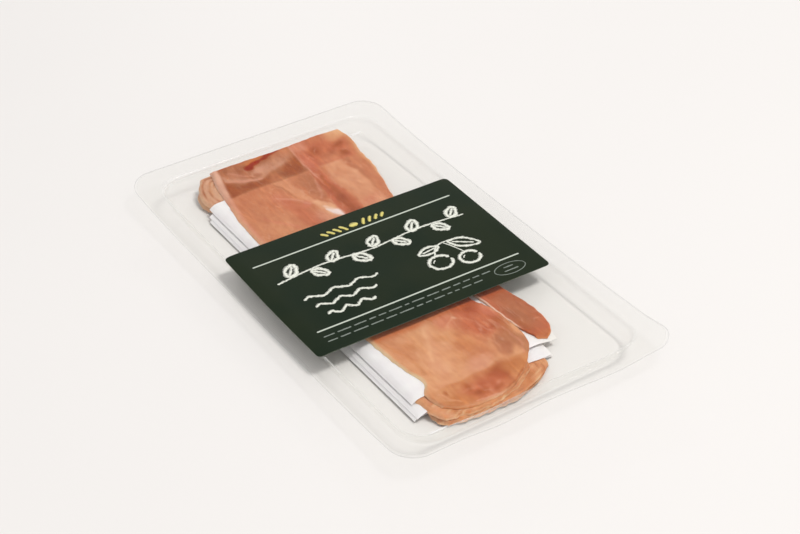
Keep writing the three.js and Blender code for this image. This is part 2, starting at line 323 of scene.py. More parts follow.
def clear_plastic(name, haze, gloss_roughness, ripple_size, ripple_depth, glint_lines=()):
    """Thin clear plastic: mostly see-through, a little milky, greyer where it is seen edge-on, and glossy
    as
    0.004 + 0.7 s^5, s being how slantingly it is seen. At its cut edge it is painted a darker grey, as
    painted shade standing in for the dark line that light bent in the sheet's edge draws there. Slow
    ripples in the sheet break up its reflections. It is painted white as painted highlights, standing in
    for glints of
    light: where the mesh says so, and along each glint line, (middle X, middle Y, half length) in
    millimetres."""
    finish = Finish(name)
    place = finish.place()
    ripples = finish.grain(place, ripple_size, detail=1.0)
    axes = [finish.add("ShaderNodeSeparateXYZ", None, {0: place}, output=axis) for axis in "XY"]
    # Painted highlights: the sheet is painted white where the mesh marks glints and along each glint line.
    glint_share = finish.stored("painted_highlight")
    for x, y, reach in glint_lines:
        beside = (axes[1] - y * MM).math("ABSOLUTE").above(GLINT_LINE_HALF_WIDTH * MM, 0)
        along = (axes[0] - x * MM).math("ABSOLUTE").above(reach * MM, 0.5 * reach * MM)
        glint_share = beside * along + glint_share
    normal = finish.bump(ripples, ripple_depth)
    edge_on = finish.add("ShaderNodeLayerWeight", None, {"Blend": 0.5}, output="Facing")
    specks = finish.grain(place, 1.5, detail=3.0)
    # Painted shade at the cut edge: more cloudy and a darker grey there, standing in for the dark line that
    # light bent in the sheet's edge draws.
    cut = finish.stored("cut_edge")
    milky = haze * (0.6 + 0.8 * specks) + 0.28 * edge_on**8 + 0.22 * cut + 0.55 * glint_share
    clear = finish.add("ShaderNodeBsdfTransparent", None, {"Color": (0.993, 0.993, 0.99, 1)})
    shade = finish.blend(cut, (0.80, 0.81, 0.80, 1), (0.42, 0.43, 0.42, 1))
    # Painted highlight: the cloudy part is painted white at the glints.
    shade = finish.blend(glint_share, shade, (1, 1, 1, 1))
    cloudy = finish.surface(Base_Color=shade, Roughness=0.3, IOR=1.5)
    body = finish.add("ShaderNodeMixShader", None, {0: milky, 1: clear, 2: cloudy})
    shine = {"Color": (1, 1, 1, 1), "Roughness": gloss_roughness, "Normal": normal}
    gloss = finish.add("ShaderNodeBsdfAnisotropic", None, shine)
    slant = finish.add("ShaderNodeLayerWeight", None, {"Blend": 0.5, "Normal": normal}, output="Facing")
    mirrored = 0.004 + 0.7 * slant**5
    return finish.show(finish.add("ShaderNodeMixShader", None, {0: mirrored, 1: body, 2: gloss}))


def greaseproof_paper():
    """White paper with faint fibres, cloudy where the pulp lies thicker, a touch lavender in its thin
    spots, and painted a little greyer towards its right end."""
    finish = Finish("greaseproof_paper")
    place = finish.place()
    cloud = finish.grain(place, 6, detail=3.0)
    fibres = finish.grain(place, 0.5, stretch=(1, 3, 1), detail=4.0)
    colour = finish.blend(cloud.above(0.35, 0.7), rgb(248, 243, 246), rgb(253, 250, 251))
    colour = finish.blend(0.06 * fibres, colour, rgb(205, 200, 210))
    across = finish.add("ShaderNodeSeparateXYZ", None, {0: place})
    # Painted a little greyer towards the right end.
    colour = finish.blend(across.above(0.018, 0.030) * 0.9, colour, rgb(228, 223, 216))
    roughness = 0.62 + 0.2 * fibres
    normal = finish.bump(fibres * 0.4 + cloud, 0.05)
    return finish.show(finish.surface(
        Base_Color=colour, Roughness=roughness, Normal=normal, Subsurface_Weight=0.6,
        Subsurface_Radius=(1, 1, 1), Subsurface_Scale=0.7 * MM))


LABEL_GREEN = rgb(10, 28, 11)


def printed_label():
    """Satin print in a very dark green, a shade warmer in clouds, with the paler paper at its cut
    edge."""
    finish = Finish("printed_label")
    place = finish.place()
    cloud = finish.grain(place, 30, detail=2.0)
    tooth = finish.grain(place, 0.35, detail=3.0)
    colour = finish.blend(cloud.above(0.3, 0.7), LABEL_GREEN, rgb(22, 33, 13))
    colour = finish.blend(0.05 * tooth, colour, rgb(90, 98, 84))
    colour = finish.blend(finish.stored("cut_edge").above(0.3, 0.8), colour, rgb(108, 114, 100))
    normal = finish.bump(tooth + cloud * 3, 0.02)
    return finish.show(finish.surface(
        Base_Color=colour, Roughness=0.3 + 0.12 * tooth, Normal=normal, IOR=1.2))


def chalk_print(name, colour, cover):
    """Ink that looks drawn with chalk: streaks along the stroke, 0.3 mm wide and six times as long, let
    the label's green through where they are under cover. The stroke's own map is in millimetres."""
    finish = Finish(name)
    stroke = finish.add("ShaderNodeUVMap", {"uv_map": "stroke"})
    long_streaks = finish.grain(stroke, 0.3 / MM, stretch=(6, 1, 1), detail=2.0)
    crumbs = finish.grain(finish.place(), 0.32, detail=3.0)
    bare = (long_streaks * 0.6 + crumbs * 0.4).above(cover, cover - 0.08)
    ink = finish.blend(bare, colour, LABEL_GREEN)
    return finish.show(finish.surface(Base_Color=ink, Roughness=0.5 + 0.2 * crumbs))


def flat_print(name, colour):
    """Plain ink with the faint grain of the paper under it."""
    finish = Finish(name)
    tooth = finish.grain(finish.place(), 0.3, detail=2.0)
    ink = finish.blend(0.25 * tooth, colour, LABEL_GREEN)
    return finish.show(finish.surface(Base_Color=ink, Roughness=0.42 + 0.1 * tooth))


def cured_ham():
    """Moist cured meat. The painted zones of muscle and fat come with the mesh; on them lie fine fibres
    along the slice, soft mottling, thin pale threads of fat and small spots, all weaker where it is
    fat."""
    finish = Finish("cured_ham")
    place = finish.place()
    paint = finish.stored("paint", "Color")
    fat = finish.stored("fat")
    lean = 1 - fat
    mottles = finish.grain(place, 2.6, stretch=(1, 1.6, 1), detail=4.0, turn=0.3)
    fibres = finish.grain(place, 0.55, stretch=(1, 7, 1), detail=3.0, turn=-0.12)
    bundles = finish.grain(place, 1.7, stretch=(1, 9, 1), detail=2.0, turn=0.1)
    threads = finish.grain(place, 6, stretch=(1, 4, 1), detail=2.0, turn=0.35)
    patches = finish.grain(place, 11, detail=1.0)
    drift = finish.grain(place, 4.5, stretch=(1, 1.7, 1), detail=3.0, turn=-0.2)
    colour = finish.blend(0.45, paint, drift, "SOFT_LIGHT")
    for share, tint, way in [
        (mottles.above(0.42, 0.72) * lean * 0.38, (0.80, 0.60, 0.52, 1), "MULTIPLY"),
        (bundles.above(0.5, 0.75) * lean * 0.30, (1.0, 0.86, 0.74, 1), "SOFT_LIGHT"),
        (fibres.above(0.45, 0.8) * lean * 0.28, (0.86, 0.70, 0.62, 1), "MULTIPLY"),
    ]:
        colour = finish.blend(share, colour, tint, way)
    thread = 1 - (threads - 0.5).math("ABSOLUTE").above(0.004, 0.022)
    thread = thread * patches.above(0.48, 0.62) * lean * 0.17
    colour = finish.blend(thread, colour, rgb(236, 190, 158))
    fleck = finish.grain(place, 0.7, detail=1.0).above(0.74, 0.8) * patches.above(0.55, 0.7) * 0.35
    colour = finish.blend(fleck, colour, rgb(240, 205, 180))
    roughness = 0.36 + 0.16 * mottles - 0.06 * fat
    relief = fibres * lean * 0.5 + mottles * 0.8 + bundles * 0.5 + thread * 0.6
    return finish.show(finish.surface(
        Base_Color=colour, Roughness=roughness, Normal=finish.bump(relief, 0.16),
        IOR=1.2, Subsurface_Weight=0.25, Subsurface_Radius=(1.0, 0.42, 0.28), Subsurface_Scale=1.4 * MM))


def table_top():
    """A bright, smooth, slightly warm white surface."""
    finish = Finish("table_top")
    cloud = finish.grain(finish.place(), 240, detail=2.0)
    colour = finish.blend(cloud, (0.80, 0.78, 0.765, 1), (0.82, 0.80, 0.785, 1))
    return finish.show(finish.surface(Base_Color=colour, Roughness=0.5))


# ---- Tray and film ----

def rounded_loop(corner_steps, long_steps, short_steps):
    """A rounded rectangle as four arrays (a, b, c, s): its points are a (W - r) + r c and b (L - r) + r s
    for half sizes W and L and corner radius r. It runs counter-clockwise from the right side's back
    end."""
    rows = []
    signs = [(1, 1), (-1, 1), (-1, -1), (1, -1), (1, 1)]
    for k, steps in enumerate([short_steps, long_steps, short_steps, long_steps]):
        here, there = np.array(signs[k]), np.array(signs[k + 1])
        arc = k * math.pi / 2 + np.linspace(0, math.pi / 2, corner_steps + 1)
        rows.append(np.stack([*np.broadcast_arrays(here[0], here[1], np.cos(arc), np.sin(arc))], -1))
        t = np.linspace(0, 1, steps + 1)[1:-1, None]
        side = here * (1 - t) + there * t
        end = np.broadcast_to([math.cos(arc[-1]), math.sin(arc[-1])], side.shape)
        rows.append(np.concatenate([side, end], -1))
    return np.concatenate(rows).T


LOOP = rounded_loop(corner_steps=12, long_steps=84, short_steps=46)
FLANGE_ROWS = 14
LAST_FLANGE_ROW = 0.35
FLANGE_INSETS = np.linspace(-RIM_FILLET, LAST_FLANGE_ROW - FLANGE_WIDTH, FLANGE_ROWS)
FLANGE_INSETS = np.append(FLANGE_INSETS, -FLANGE_WIDTH)


def loops_at(inset, height):
    """Loops round the pack at arrays of insets from the cavity's edge and heights: an array of loops by
    points by X, Y, Z. The heights take the bow of the pack, and above the floor's fillet the flange's
    warp."""
    inset = np.asarray(inset, float)[:, None]
    height = np.asarray(height, float)[:, None]
    width = CAVITY_HALF_WIDTH - inset
    length = CAVITY_HALF_LENGTH - inset
    outside = CAVITY_CORNER + (FLANGE_CORNER - CAVITY_CORNER) * (-inset / FLANGE_WIDTH)
    radius = np.where(inset >= 0, CAVITY_CORNER + FLOOR_CORNER_GROWTH * inset, outside)
    radius = np.minimum(radius, np.minimum(width, length))
    a, b, c, s = LOOP
    x = a * (width - radius) + radius * c
    y = b * (length - radius) + radius * s
    warped = smooth(FLOOR_FILLET, TRAY_HEIGHT - RIM_FILLET, height)
    return np.stack([x, y, height + bow(y) + flange_warp(x, y) * warped], -1)


def offset(profile, distance):
    """A profile of insets and heights moved sideways by a distance: each point goes square to the line
    from the point before it to the point after it."""
    before = np.concatenate([profile[:1], profile[:-1]])
    after = np.concatenate([profile[1:], profile[-1:]])
    step = after - before
    step = step / np.linalg.norm(step, axis=1, keepdims=True)
    return profile + distance * np.stack([step[:, 1], -step[:, 0]], -1)


def loop_body(name, loops, finish, cut, painted_highlight=0.0):
    """A closed skin through loops, from the middle of the underside out and back over the top. The first
    and the last loop have no width, so their two sides are merged. cut is how much of its cut edge is
    painted as a dark line, and the last argument how white each point is painted as a highlight."""
    count = loops.shape[1]
    ring = np.arange(len(loops) - 1)[:, None] * count
    here = np.arange(count)[None, :]
    a = ring + here
    b = ring + (here + 1) % count
    piece = mesh_piece(name, loops, np.stack([a, b, b + count, a + count], -1), finish)
    outermost = np.zeros((len(loops), count))
    outermost[len(loops) // 2 - 1:len(loops) // 2 + 1] = cut
    set_values(piece, "cut_edge", "FLOAT", outermost)
    set_values(piece, "painted_highlight", "FLOAT", painted_highlight + 0 * outermost)
    merge_doubles(piece)
    return piece


MERGE_DISTANCE = 0.002


def merge_doubles(piece):
    """Joins points that lie together and drops the faces that lose their area."""
    work = bmesh.new()
    work.from_mesh(piece.data)
    bmesh.ops.remove_doubles(work, verts=work.verts, dist=MERGE_DISTANCE * MM)
    work.to_mesh(piece.data)
    work.free()


def arc_points(centre, radius, start, end, steps):
    """Points on an arc of a profile, from one angle to another in degrees."""
    angle = np.radians(np.linspace(start, end, steps + 1))
    return np.stack([centre[0] + radius * np.cos(angle), centre[1] + radius * np.sin(angle)], -1)


FLOOR_ROWS = 9
FOOT_STEPS = 8
WALL_STEPS = 5
RIM_STEPS = 6


def tray_profile():
    """The middle of the formed sheet, as insets and heights: flat from the floor's centre line, up the
    fillet, the leaning wall and the rounded rim, and out over the flange."""
    floor_z = SHEET / 2
    flange_z = TRAY_HEIGHT - SHEET / 2
    insets = np.linspace(CAVITY_HALF_WIDTH, WALL_DRAFT + 2 * FLOOR_FILLET, FLOOR_ROWS)
    floor = np.stack([insets, np.full_like(insets, floor_z)], -1)
    foot_centre = (WALL_DRAFT + FLOOR_FILLET, floor_z + FLOOR_FILLET)
    foot = arc_points(foot_centre, FLOOR_FILLET, 270, 180, FOOT_STEPS)
    rim = arc_points((-RIM_FILLET, flange_z - RIM_FILLET), RIM_FILLET, 0, 90, RIM_STEPS)
    flange = np.stack([FLANGE_INSETS[1:], np.full(len(FLANGE_INSETS) - 1, flange_z)], -1)
    wall = foot[-1] + (rim[0] - foot[-1]) * np.linspace(0, 1, WALL_STEPS + 1)[1:-1, None]
    return np.concatenate([floor, foot, wall, rim, flange])


# The inset at which the rim's painted highlight is whitest, and how far the white reaches.
RIM_WHITE = -0.2
RIM_WHITE_REACH = 0.6


def make_tray():
    """The formed sheet: both faces lie half a thickness off its profile. Over the rim its upper face is
    painted white as a painted highlight, as a bell curve of the inset, in patches and more on the left than
    on the right."""
    profile = tray_profile()
    under = loops_at(*offset(profile, -SHEET / 2).T)
    over = loops_at(*offset(profile, SHEET / 2).T)
    x, y = over[..., 0], over[..., 1]
    # Painted highlight over the rim: a bell curve of the inset, in patches, stronger on the left.
    rounded = np.exp(-(((profile[:, :1] - RIM_WHITE) / RIM_WHITE_REACH) ** 2))
    patchy = 0.65 + 0.35 * noise(x, y, 31, 77)
    white = rounded * patchy * (0.45 + 0.55 * smooth(20, -50, x))
    finish = clear_plastic("clear_tray", haze=0.006, gloss_roughness=0.06, ripple_size=34,
                           ripple_depth=0.5)
    piece = loop_body("tray_shell", np.concatenate([under, over[::-1]]), finish, cut=1.0,
                      painted_highlight=np.concatenate([0 * white, white[::-1]]))
    stands_for(piece, "clear_tray", "tray")


# The film's gap over the flange, its painted glint lines as (middle X, middle Y, half length), and how far
# inside its edge the last row before it lies.
FILM_REST = 0.1
FILM_GLINT_LINES = [(45.0, 95.0, 3.6), (-48.0, -109.9, 5.6)]
LAST_FILM_ROW = 0.25


def film_height(inset, x, y):
    """Underside of the film above the table, before the bow: it rests just over the flange, rises past
    the rim to its full gap over the cavity, and has slight waves there."""
    swell = (GAP - FILM_REST) * smooth(-RIM_FILLET, 4, inset)
    waves = 0.05 * noise(x, y, 21, 5) * smooth(0, 10, inset)
    return TRAY_HEIGHT + FILM_REST + swell + waves


def make_film():
    """The film over the tray, as loops from the pack's centre line out to just inside the flange's
    edge."""
    inner = np.linspace(CAVITY_HALF_WIDTH, 4, 20)
    outer = [FILM_EDGE + LAST_FILM_ROW - FLANGE_WIDTH, FILM_EDGE - FLANGE_WIDTH]
    insets = np.concatenate([inner, np.linspace(3.2, 0, 5), FLANGE_INSETS[:-2], outer])
    flat = loops_at(insets, np.full_like(insets, TRAY_HEIGHT))
    x, y = flat[..., 0], flat[..., 1]
    rise = film_height(insets[:, None], x, y) - TRAY_HEIGHT
    under = flat + np.stack([0 * rise, 0 * rise, rise], -1)
    over = under + np.array([0, 0, FILM_THICKNESS])
    finish = clear_plastic("lid_film", haze=0.003, gloss_roughness=0.035, ripple_size=26,
                           ripple_depth=0.35, glint_lines=FILM_GLINT_LINES)
    piece = loop_body("film_sheet", np.concatenate([under, over[::-1]]), finish, cut=0.2)
    stands_for(piece, "lid_film", "lid_film")


# ---- Thin sheets ----

def shares(length, step, fine=(0, 0.08, 0.2, 0.4, 0.7)):
    """Shares from 0 to 1 along a length, about a step apart, with closer rows at both ends."""
    ends = np.array(fine)
    middle = np.linspace(1.1, length - 1.1, max(2, round((length - 2.2) / step)))
    return np.concatenate([ends, middle, (length - ends)[::-1]]) / length


def grid_body(name, lower, upper, finish, crease=180):
    """A closed sheet between two grids of points, rows along Y and then X: both faces, and a wall all
    round."""
    rows, columns = upper.shape[:2]
    layer = rows * columns
    number = np.arange(layer).reshape(rows, columns)
    a, b = number[:-1, :-1], number[:-1, 1:]
    c, d = number[1:, 1:], number[1:, :-1]
    faces = [np.stack([a, d, c, b], -1), np.stack([a, b, c, d], -1) + layer]
    around = np.concatenate([number[0, :-1], number[:-1, -1], number[-1, :0:-1], number[:0:-1, 0]])
    following = np.roll(around, -1)
    faces.append(np.stack([around, following, following + layer, around + layer], -1))
    quads = np.concatenate([f.reshape(-1, 4) for f in faces])
    points = np.concatenate([lower.reshape(-1, 3), upper.reshape(-1, 3)])
    return mesh_piece(name, points, quads, finish, crease)


# How far the free parts of a layer are drawn towards one level: a paper, a slice, the slice whose edge
# hangs over the one beneath it, and the strip's lobe.
PAPER_CLOSING = 0.72
SLICE_CLOSING = 0.4
DRAPED_CLOSING = 0.78
LOBE_CLOSING = 0.6
CLOSING_LEVEL = 1.2
# How uneven the stack is, how it sinks towards its front end, and how it climbs the back wall.
UNEVEN_SHARE = 0.05
SINK_SHARE = 0.25
SINK_START, SINK_END = 80, 104
BACK_CLIMB = 2.3
CLIMB_START, CLIMB_END = 88, 109


def stack_height(level, x, y, closing=0.0):
    """Height of a level of the stack: on the bowed floor, a little uneven as a product of two slow waves,
    sinking together in front of the papers and climbing the back wall. By the share closing it is drawn
    to one level where its left side and its front right corner are free."""
    uneven = np.sin(x / 9.5 + y / 23) * np.cos(y / 17 - x / 31)
    corner = smooth(11, 22, x) * smooth(-83.5, -90, y)
    corner = np.maximum(corner, smooth(21, 31, x) * smooth(-78, -86, y))
    free = np.maximum(smooth(-39.5, -46, x), corner)
    level = level + (CLOSING_LEVEL - level) * closing * free
    sunk = 1 - SINK_SHARE * smooth(SINK_START, SINK_END, -y)
    climb = BACK_CLIMB * smooth(CLIMB_START, CLIMB_END, y)
    return SHEET + level * sunk * (1 + UNEVEN_SHARE * uneven) + bow(y) + climb


def patch(front, back, left, right):
    """A smooth patch between four edge curves, as a function of shares u across and v along: the two
    blends of opposite edges, less the blend of the four corners. The side curves run from the front end
    to the back."""
    corner = {"fl": front[0], "fr": front[-1], "bl": back[0], "br": back[-1]}
    front_edge, back_edge = spline(front), spline(back)
    left_edge = spline([corner["fl"], *left, corner["bl"]])
    right_edge = spline([corner["fr"], *right, corner["br"]])

    def place(u, v):
        """Points at arrays of shares."""
        u, v = u[..., None], v[..., None]
        along = (1 - v) * front_edge(u[..., 0]) + v * back_edge(u[..., 0])
        across = (1 - u) * left_edge(v[..., 0]) + u * right_edge(v[..., 0])
        near = (1 - u) * np.array(corner["fl"]) + u * np.array(corner["fr"])
        far = (1 - u) * np.array(corner["bl"]) + u * np.array(corner["br"])
        return along + across - (1 - v) * near - v * far

    return place


# ---- Papers ----

# Each paper: left, right, front, back, the level of its underside in the stack, the skew of its front
# edge in degrees and how far its sides curl down.
PAPERS = {
    "paper_sheet_3": (-46.4, 26.6, -90.9, 81.0, 1.5, 1.5, 0.95),
    "paper_sheet_2": (-45.3, 25.8, -91.5, 83.4, 3.2, 2.0, 0.45),
    "paper_sheet_1": (-43.4, 33.0, -84.6, 86.4, 4.9, 1.2, 0.2),
}
LEFT_CURL_REACH = 1.5
RIGHT_CURL_REACH = 6


def make_papers():
    """Each paper is a rectangle with a skewed front edge, on its level of the stack, with slow low waves
    that grow towards its free edges. Its left edge curls down by a smooth step, and its right edge over a
    longer one."""
    finish = greaseproof_paper()
    for seed, (name, (left, right, front, back, level, skew, curl)) in enumerate(PAPERS.items()):
        u, v = np.meshgrid(shares(right - left, 1.6), shares(back - front, 1.9))
        x = left + (right - left) * u
        y = front + (back - front) * v + (x - left) * math.tan(math.radians(skew)) * (1 - v)
        free = 1 - smooth(0, 9, np.minimum(x - left, right - x))
        ends = 1 - smooth(0, 7, np.minimum(y - front, back - y))
        wave = 0.08 * noise(x, y, 17, 31 + seed) * free + 0.05 * noise(x, y, 9, 41 + seed) * ends
        curled = 2 - smooth(0, LEFT_CURL_REACH, x - left) - smooth(0, RIGHT_CURL_REACH, right - x)
        low = stack_height(level, x, y, PAPER_CLOSING) + wave - curl * curled
        lower = np.stack([x, y, low], -1)
        upper = lower + np.array([0, 0, PAPER_THICKNESS])
        piece = grid_body(name.replace("sheet", "leaf"), lower, upper, finish)
        stands_for(piece, "paper", name)


# ---- Ham ----

# Colours of the meat in the finished pack as (red, green, blue), and the share of fat in each. One is
# painted shade: the orange-red of the meat where the label's shadow falls.
MEAT = {
    "salmon": ((202, 129, 92), 0.1),
    "rose": ((213, 128, 102), 0.1),
    "red": ((192, 106, 76), 0.0),
    "dark": ((163, 90, 56), 0.0),
    "brown": ((172, 110, 78), 0.1),
    "ember": ((206, 118, 66), 0.2),
    "bark": ((211, 165, 136), 0.3),
    # Painted shade: the orange-red of the meat in the label's shadow.
    "shadow_red": ((222, 110, 62), 0.0),
    "blood": ((158, 58, 34), 0.0),
    "sienna": ((203, 131, 88), 0.1),
    "rind": ((240, 196, 158), 0.6),
    "dusk": ((181, 115, 83), 0.2),
    "veil": ((203, 148, 120), 0.5),
    "blush": ((216, 152, 126), 0.5),
    "tan": ((219, 158, 116), 0.3),
    "amber": ((194, 123, 78), 0.1),
    "peach": ((224, 164, 126), 0.5),
    "cream": ((231, 178, 138), 0.7),
    "gold": ((229, 177, 131), 0.8),
    "straw": ((233, 204, 164), 0.9),
    "pearl": ((240, 206, 184), 1.0),
    "white": ((240, 218, 210), 1.0),
}


def spot(x, y, centre, radii, turn, fuzz):
    """1 inside an ellipse and 0 outside it, blurred by fuzz as a share of its radii, and turned by turn
    in degrees."""
    t = math.radians(turn)
    dx, dy = x - centre[0], y - centre[1]
    across = (dx * math.cos(t) + dy * math.sin(t)) / radii[0]
    along = (dy * math.cos(t) - dx * math.sin(t)) / radii[1]
    return 1 - smooth(1 - fuzz, 1 + fuzz, np.hypot(across, along))


def streak(x, y, points, fuzz):
    """1 within a stroke and 0 outside it: the least distance from its straight pieces, as a share of
    their half width, blurred by fuzz. Its points are (x, y, half width)."""
    best = np.full(np.shape(x), 9.0)
    for (x0, y0, w0), (x1, y1, w1) in zip(points, points[1:]):
        dx, dy = x1 - x0, y1 - y0
        t = np.clip(((x - x0) * dx + (y - y0) * dy) / (dx * dx + dy * dy), 0, 1)
        reach = np.hypot(x - x0 - t * dx, y - y0 - t * dy) / (w0 + t * (w1 - w0))
        best = np.minimum(best, reach)
    return 1 - smooth(1 - fuzz, 1 + fuzz, best)


# What the film's haze adds to a colour, how strongly the meat is lit, and how far its spots wander.
HAZE = np.array([0.025, 0.023, 0.021])
LIGHT = np.array([1.05, 1.03, 1.00])
WANDER = 1.1


class Meat:
    """Paint and fat of one slice at its points, laid on in layers. Spots and streaks are laid by places
    that wander off the true ones by about a millimetre, so that their edges are uneven."""

    def __init__(self, x, y, ground, seed):
        self.x = x + WANDER * (noise(x, y, 6, seed) + 0.4 * noise(x, y, 2.2, seed + 1))
        self.y = y + WANDER * (noise(x, y, 7, seed + 2) + 0.4 * noise(x, y, 2.5, seed + 3))
        colour, fat = MEAT[ground]
        self.colour = np.broadcast_to(np.array(colour, float), (*np.shape(x), 3)).copy()
        self.fat = np.full(np.shape(x), float(fat))

    def lay(self, name, mask, strength):
        """Blends a colour and its fat in by a mask times a strength."""
        colour, fat = MEAT[name]
        share = np.clip(mask * strength, 0, 1)
        self.colour += share[..., None] * (np.array(colour) - self.colour)
        self.fat += share * (fat - self.fat)

    def spots(self, rows):
        """Rows of (colour, centre, radii, turn, fuzz, strength)."""
        for name, centre, radii, turn, fuzz, strength in rows:
            self.lay(name, spot(self.x, self.y, centre, radii, turn, fuzz), strength)

    def streaks(self, rows):
        """Rows of (colour, points, fuzz, strength)."""
        for name, points, fuzz, strength in rows:
            self.lay(name, streak(self.x, self.y, points, fuzz), strength)

    def shade(self, mask, factor):
        """Darkens by a factor for each part of the colour."""
        self.colour *= 1 - mask[..., None] * (1 - np.array(factor))

    def linear(self):
        """The paint that looks like the colour under the film, which adds haze, in this light."""
        share = np.clip(self.colour, 0, 255) / 255
        seen = ((share + 0.055) / 1.055) ** 2.4
        paint = np.clip(seen - HAZE, 0.002, 1) / LIGHT
        return np.concatenate([paint, np.ones_like(self.fat)[..., None]], -1)


def paint_long_muscles(meat):
    """Behind the label, on the wide slice: long muscles with a wedge of fat and a dark border on the
    right."""
    meat.spots([
        ("tan", (-25, 50), (10, 12), 0, 0.7, 0.45),
        ("salmon", (-22, 76), (8, 8), 0, 0.7, 0.6),
        ("blush", (-3.5, 46), (5, 7), 0, 0.5, 0.55),
        ("rose", (-4.5, 61), (3, 2.4), 20, 0.6, 0.7),
        ("brown", (5.8, 73), (4.4, 12), -6, 0.5, 0.55),
        ("rose", (-13, 70), (4, 7), 20, 0.7, 0.4),
        ("dusk", (-27, 66), (4, 9), 10, 0.8, 0.25),
    ])
    meat.streaks([
        ("red", [(-12, 66, 2.6), (-9.5, 55, 4), (-9, 42, 3.4)], 0.7, 0.6),
        ("peach", [(-5.4, 87, 4.4), (-5, 78, 3.6), (-3.4, 68, 2.2), (-0.4, 61, 1.6)], 0.5, 0.5),
        ("peach", [(0.4, 60, 1.8), (2.4, 54, 3.4), (4, 46, 3.6), (4, 20, 1.2)], 0.5, 0.75),
        ("cream", [(1.2, 60, 1.2), (2.6, 56, 2.0), (3.6, 52, 1.8)], 0.7, 0.6),
        ("pearl", [(1.6, 55, 0.6), (3.2, 50.6, 1.5), (5.2, 46, 2.2), (6, 42, 1.0)], 0.7, 0.7),
        ("white", [(1.4, 53, 0.3), (3.0, 50, 0.7), (4.6, 47.2, 1.6), (6.6, 43, 0.6)], 0.5, 0.9),
        ("white", [(4.0, 49.6, 0.5), (6.2, 47.2, 0.5), (7.4, 44, 0.4)], 0.6, 0.7),
        ("brown", [(-9.6, 84, 0.7), (-8.0, 76, 0.6), (-6.6, 68, 0.5)], 0.8, 0.4),
        ("blush", [(11.0, 80, 0.5), (7.6, 71, 0.6), (4, 62, 0.7)], 0.7, 0.45),
        ("blush", [(8.6, 76, 0.4), (5.2, 67, 0.6)], 0.7, 0.4),
        ("blush", [(-14.5, 73, 0.6), (-8, 66.5, 0.9), (-2.5, 60, 0.6)], 0.8, 0.5),
        ("rose", [(-28, 62, 1.0), (-18, 47, 1.6)], 0.8, 0.35),
        ("red", [(11, 82, 0.8), (10.4, 72, 1.4), (9.2, 62, 2.0), (8.8, 50, 2.6), (9.6, 40, 3)], 0.5, 0.8),
        ("dark", [(10.6, 76, 0.5), (10.2, 66, 0.8), (10.2, 54, 1.6), (10.2, 44, 1.6)], 0.7, 0.5),
    ])


def paint_mottled_muscle(meat):
    """In front of the label, on the wide slice: a lighter mottled muscle, red on its right."""
    meat.spots([
        ("salmon", (-29, -52), (6, 10), 0, 0.7, 0.3),
        ("amber", (-24, -56), (3.4, 3), 0, 0.8, 0.4),
        ("amber", (-12, -58), (3, 2.6), 0, 0.8, 0.45),
        ("amber", (-5, -66), (3.6, 3), 20, 0.8, 0.45),
        ("salmon", (-16, -66), (4, 3), 20, 0.8, 0.3),
        ("red", (9.5, -57), (9.5, 12.5), -8, 0.4, 0.85),
        ("red", (11, -46.5), (9, 4.5), 0, 0.5, 0.9),
        ("dark", (10, -47), (3, 2.4), 0, 0.8, 0.3),
        ("rose", (17.5, -54), (2.6, 5), 0, 0.6, 0.7),
        ("rose", (-3, -50), (4, 4.5), 0, 0.6, 0.6),
        ("dark", (16.5, -64), (3, 8), 0, 0.6, 0.55),
        ("sienna", (-4, -70), (6, 12), -8, 0.7, 0.75),
        ("salmon", (2, -75), (6, 6), 0, 0.7, 0.55),
        ("salmon", (4, -68), (3.4, 2.4), 0, 0.8, 0.5),
        ("peach", (-21, -73), (4.5, 5.5), 15, 0.7, 0.6),
        ("peach", (-25.5, -82), (4, 3), 0, 0.8, 0.5),
        ("peach", (-13, -64), (2.6, 3), 0, 0.8, 0.4),
        ("peach", (-14, -83), (5, 2.8), 0, 0.7, 0.6),
        ("blush", (-6, -81), (5.5, 4), 0, 0.7, 0.6),
        ("brown", (17, -78), (3.4, 9), 8, 0.6, 0.7),
        ("dusk", (9.5, -76), (3.6, 8.4), -24, 0.3, 0.85),
        ("brown", (11.5, -73), (2.4, 4), -10, 0.7, 0.4),
    ])
    meat.streaks([
        ("peach", [(-11, -45, 2.2), (-15, -56, 2.6), (-21, -68, 3.0), (-24, -76, 3)], 0.8, 0.6),
        ("cream", [(-13, -48, 0.6), (-17, -57, 0.8), (-22, -67, 1.0)], 0.9, 0.4),
        ("amber", [(-33.5, -46, 0.8), (-29, -60, 1.2), (-30, -74, 0.8)], 0.9, 0.35),
        ("peach", [(-27, -46, 1.4), (-22, -56, 1.2)], 0.9, 0.35),
        ("blush", [(14.6, -62, 0.4), (17, -70, 0.5), (16.4, -80, 0.6), (13, -86, 0.5)], 0.8, 0.4),
        ("peach", [(10, -69, 0.35), (6.4, -78, 0.4), (4, -86, 0.5)], 0.8, 0.3),
        ("salmon", [(-31, -84, 1.2), (-22, -87, 1.2), (-10, -85.6, 1.0), (4, -85.6, 1.0)], 0.9, 0.4),
    ])


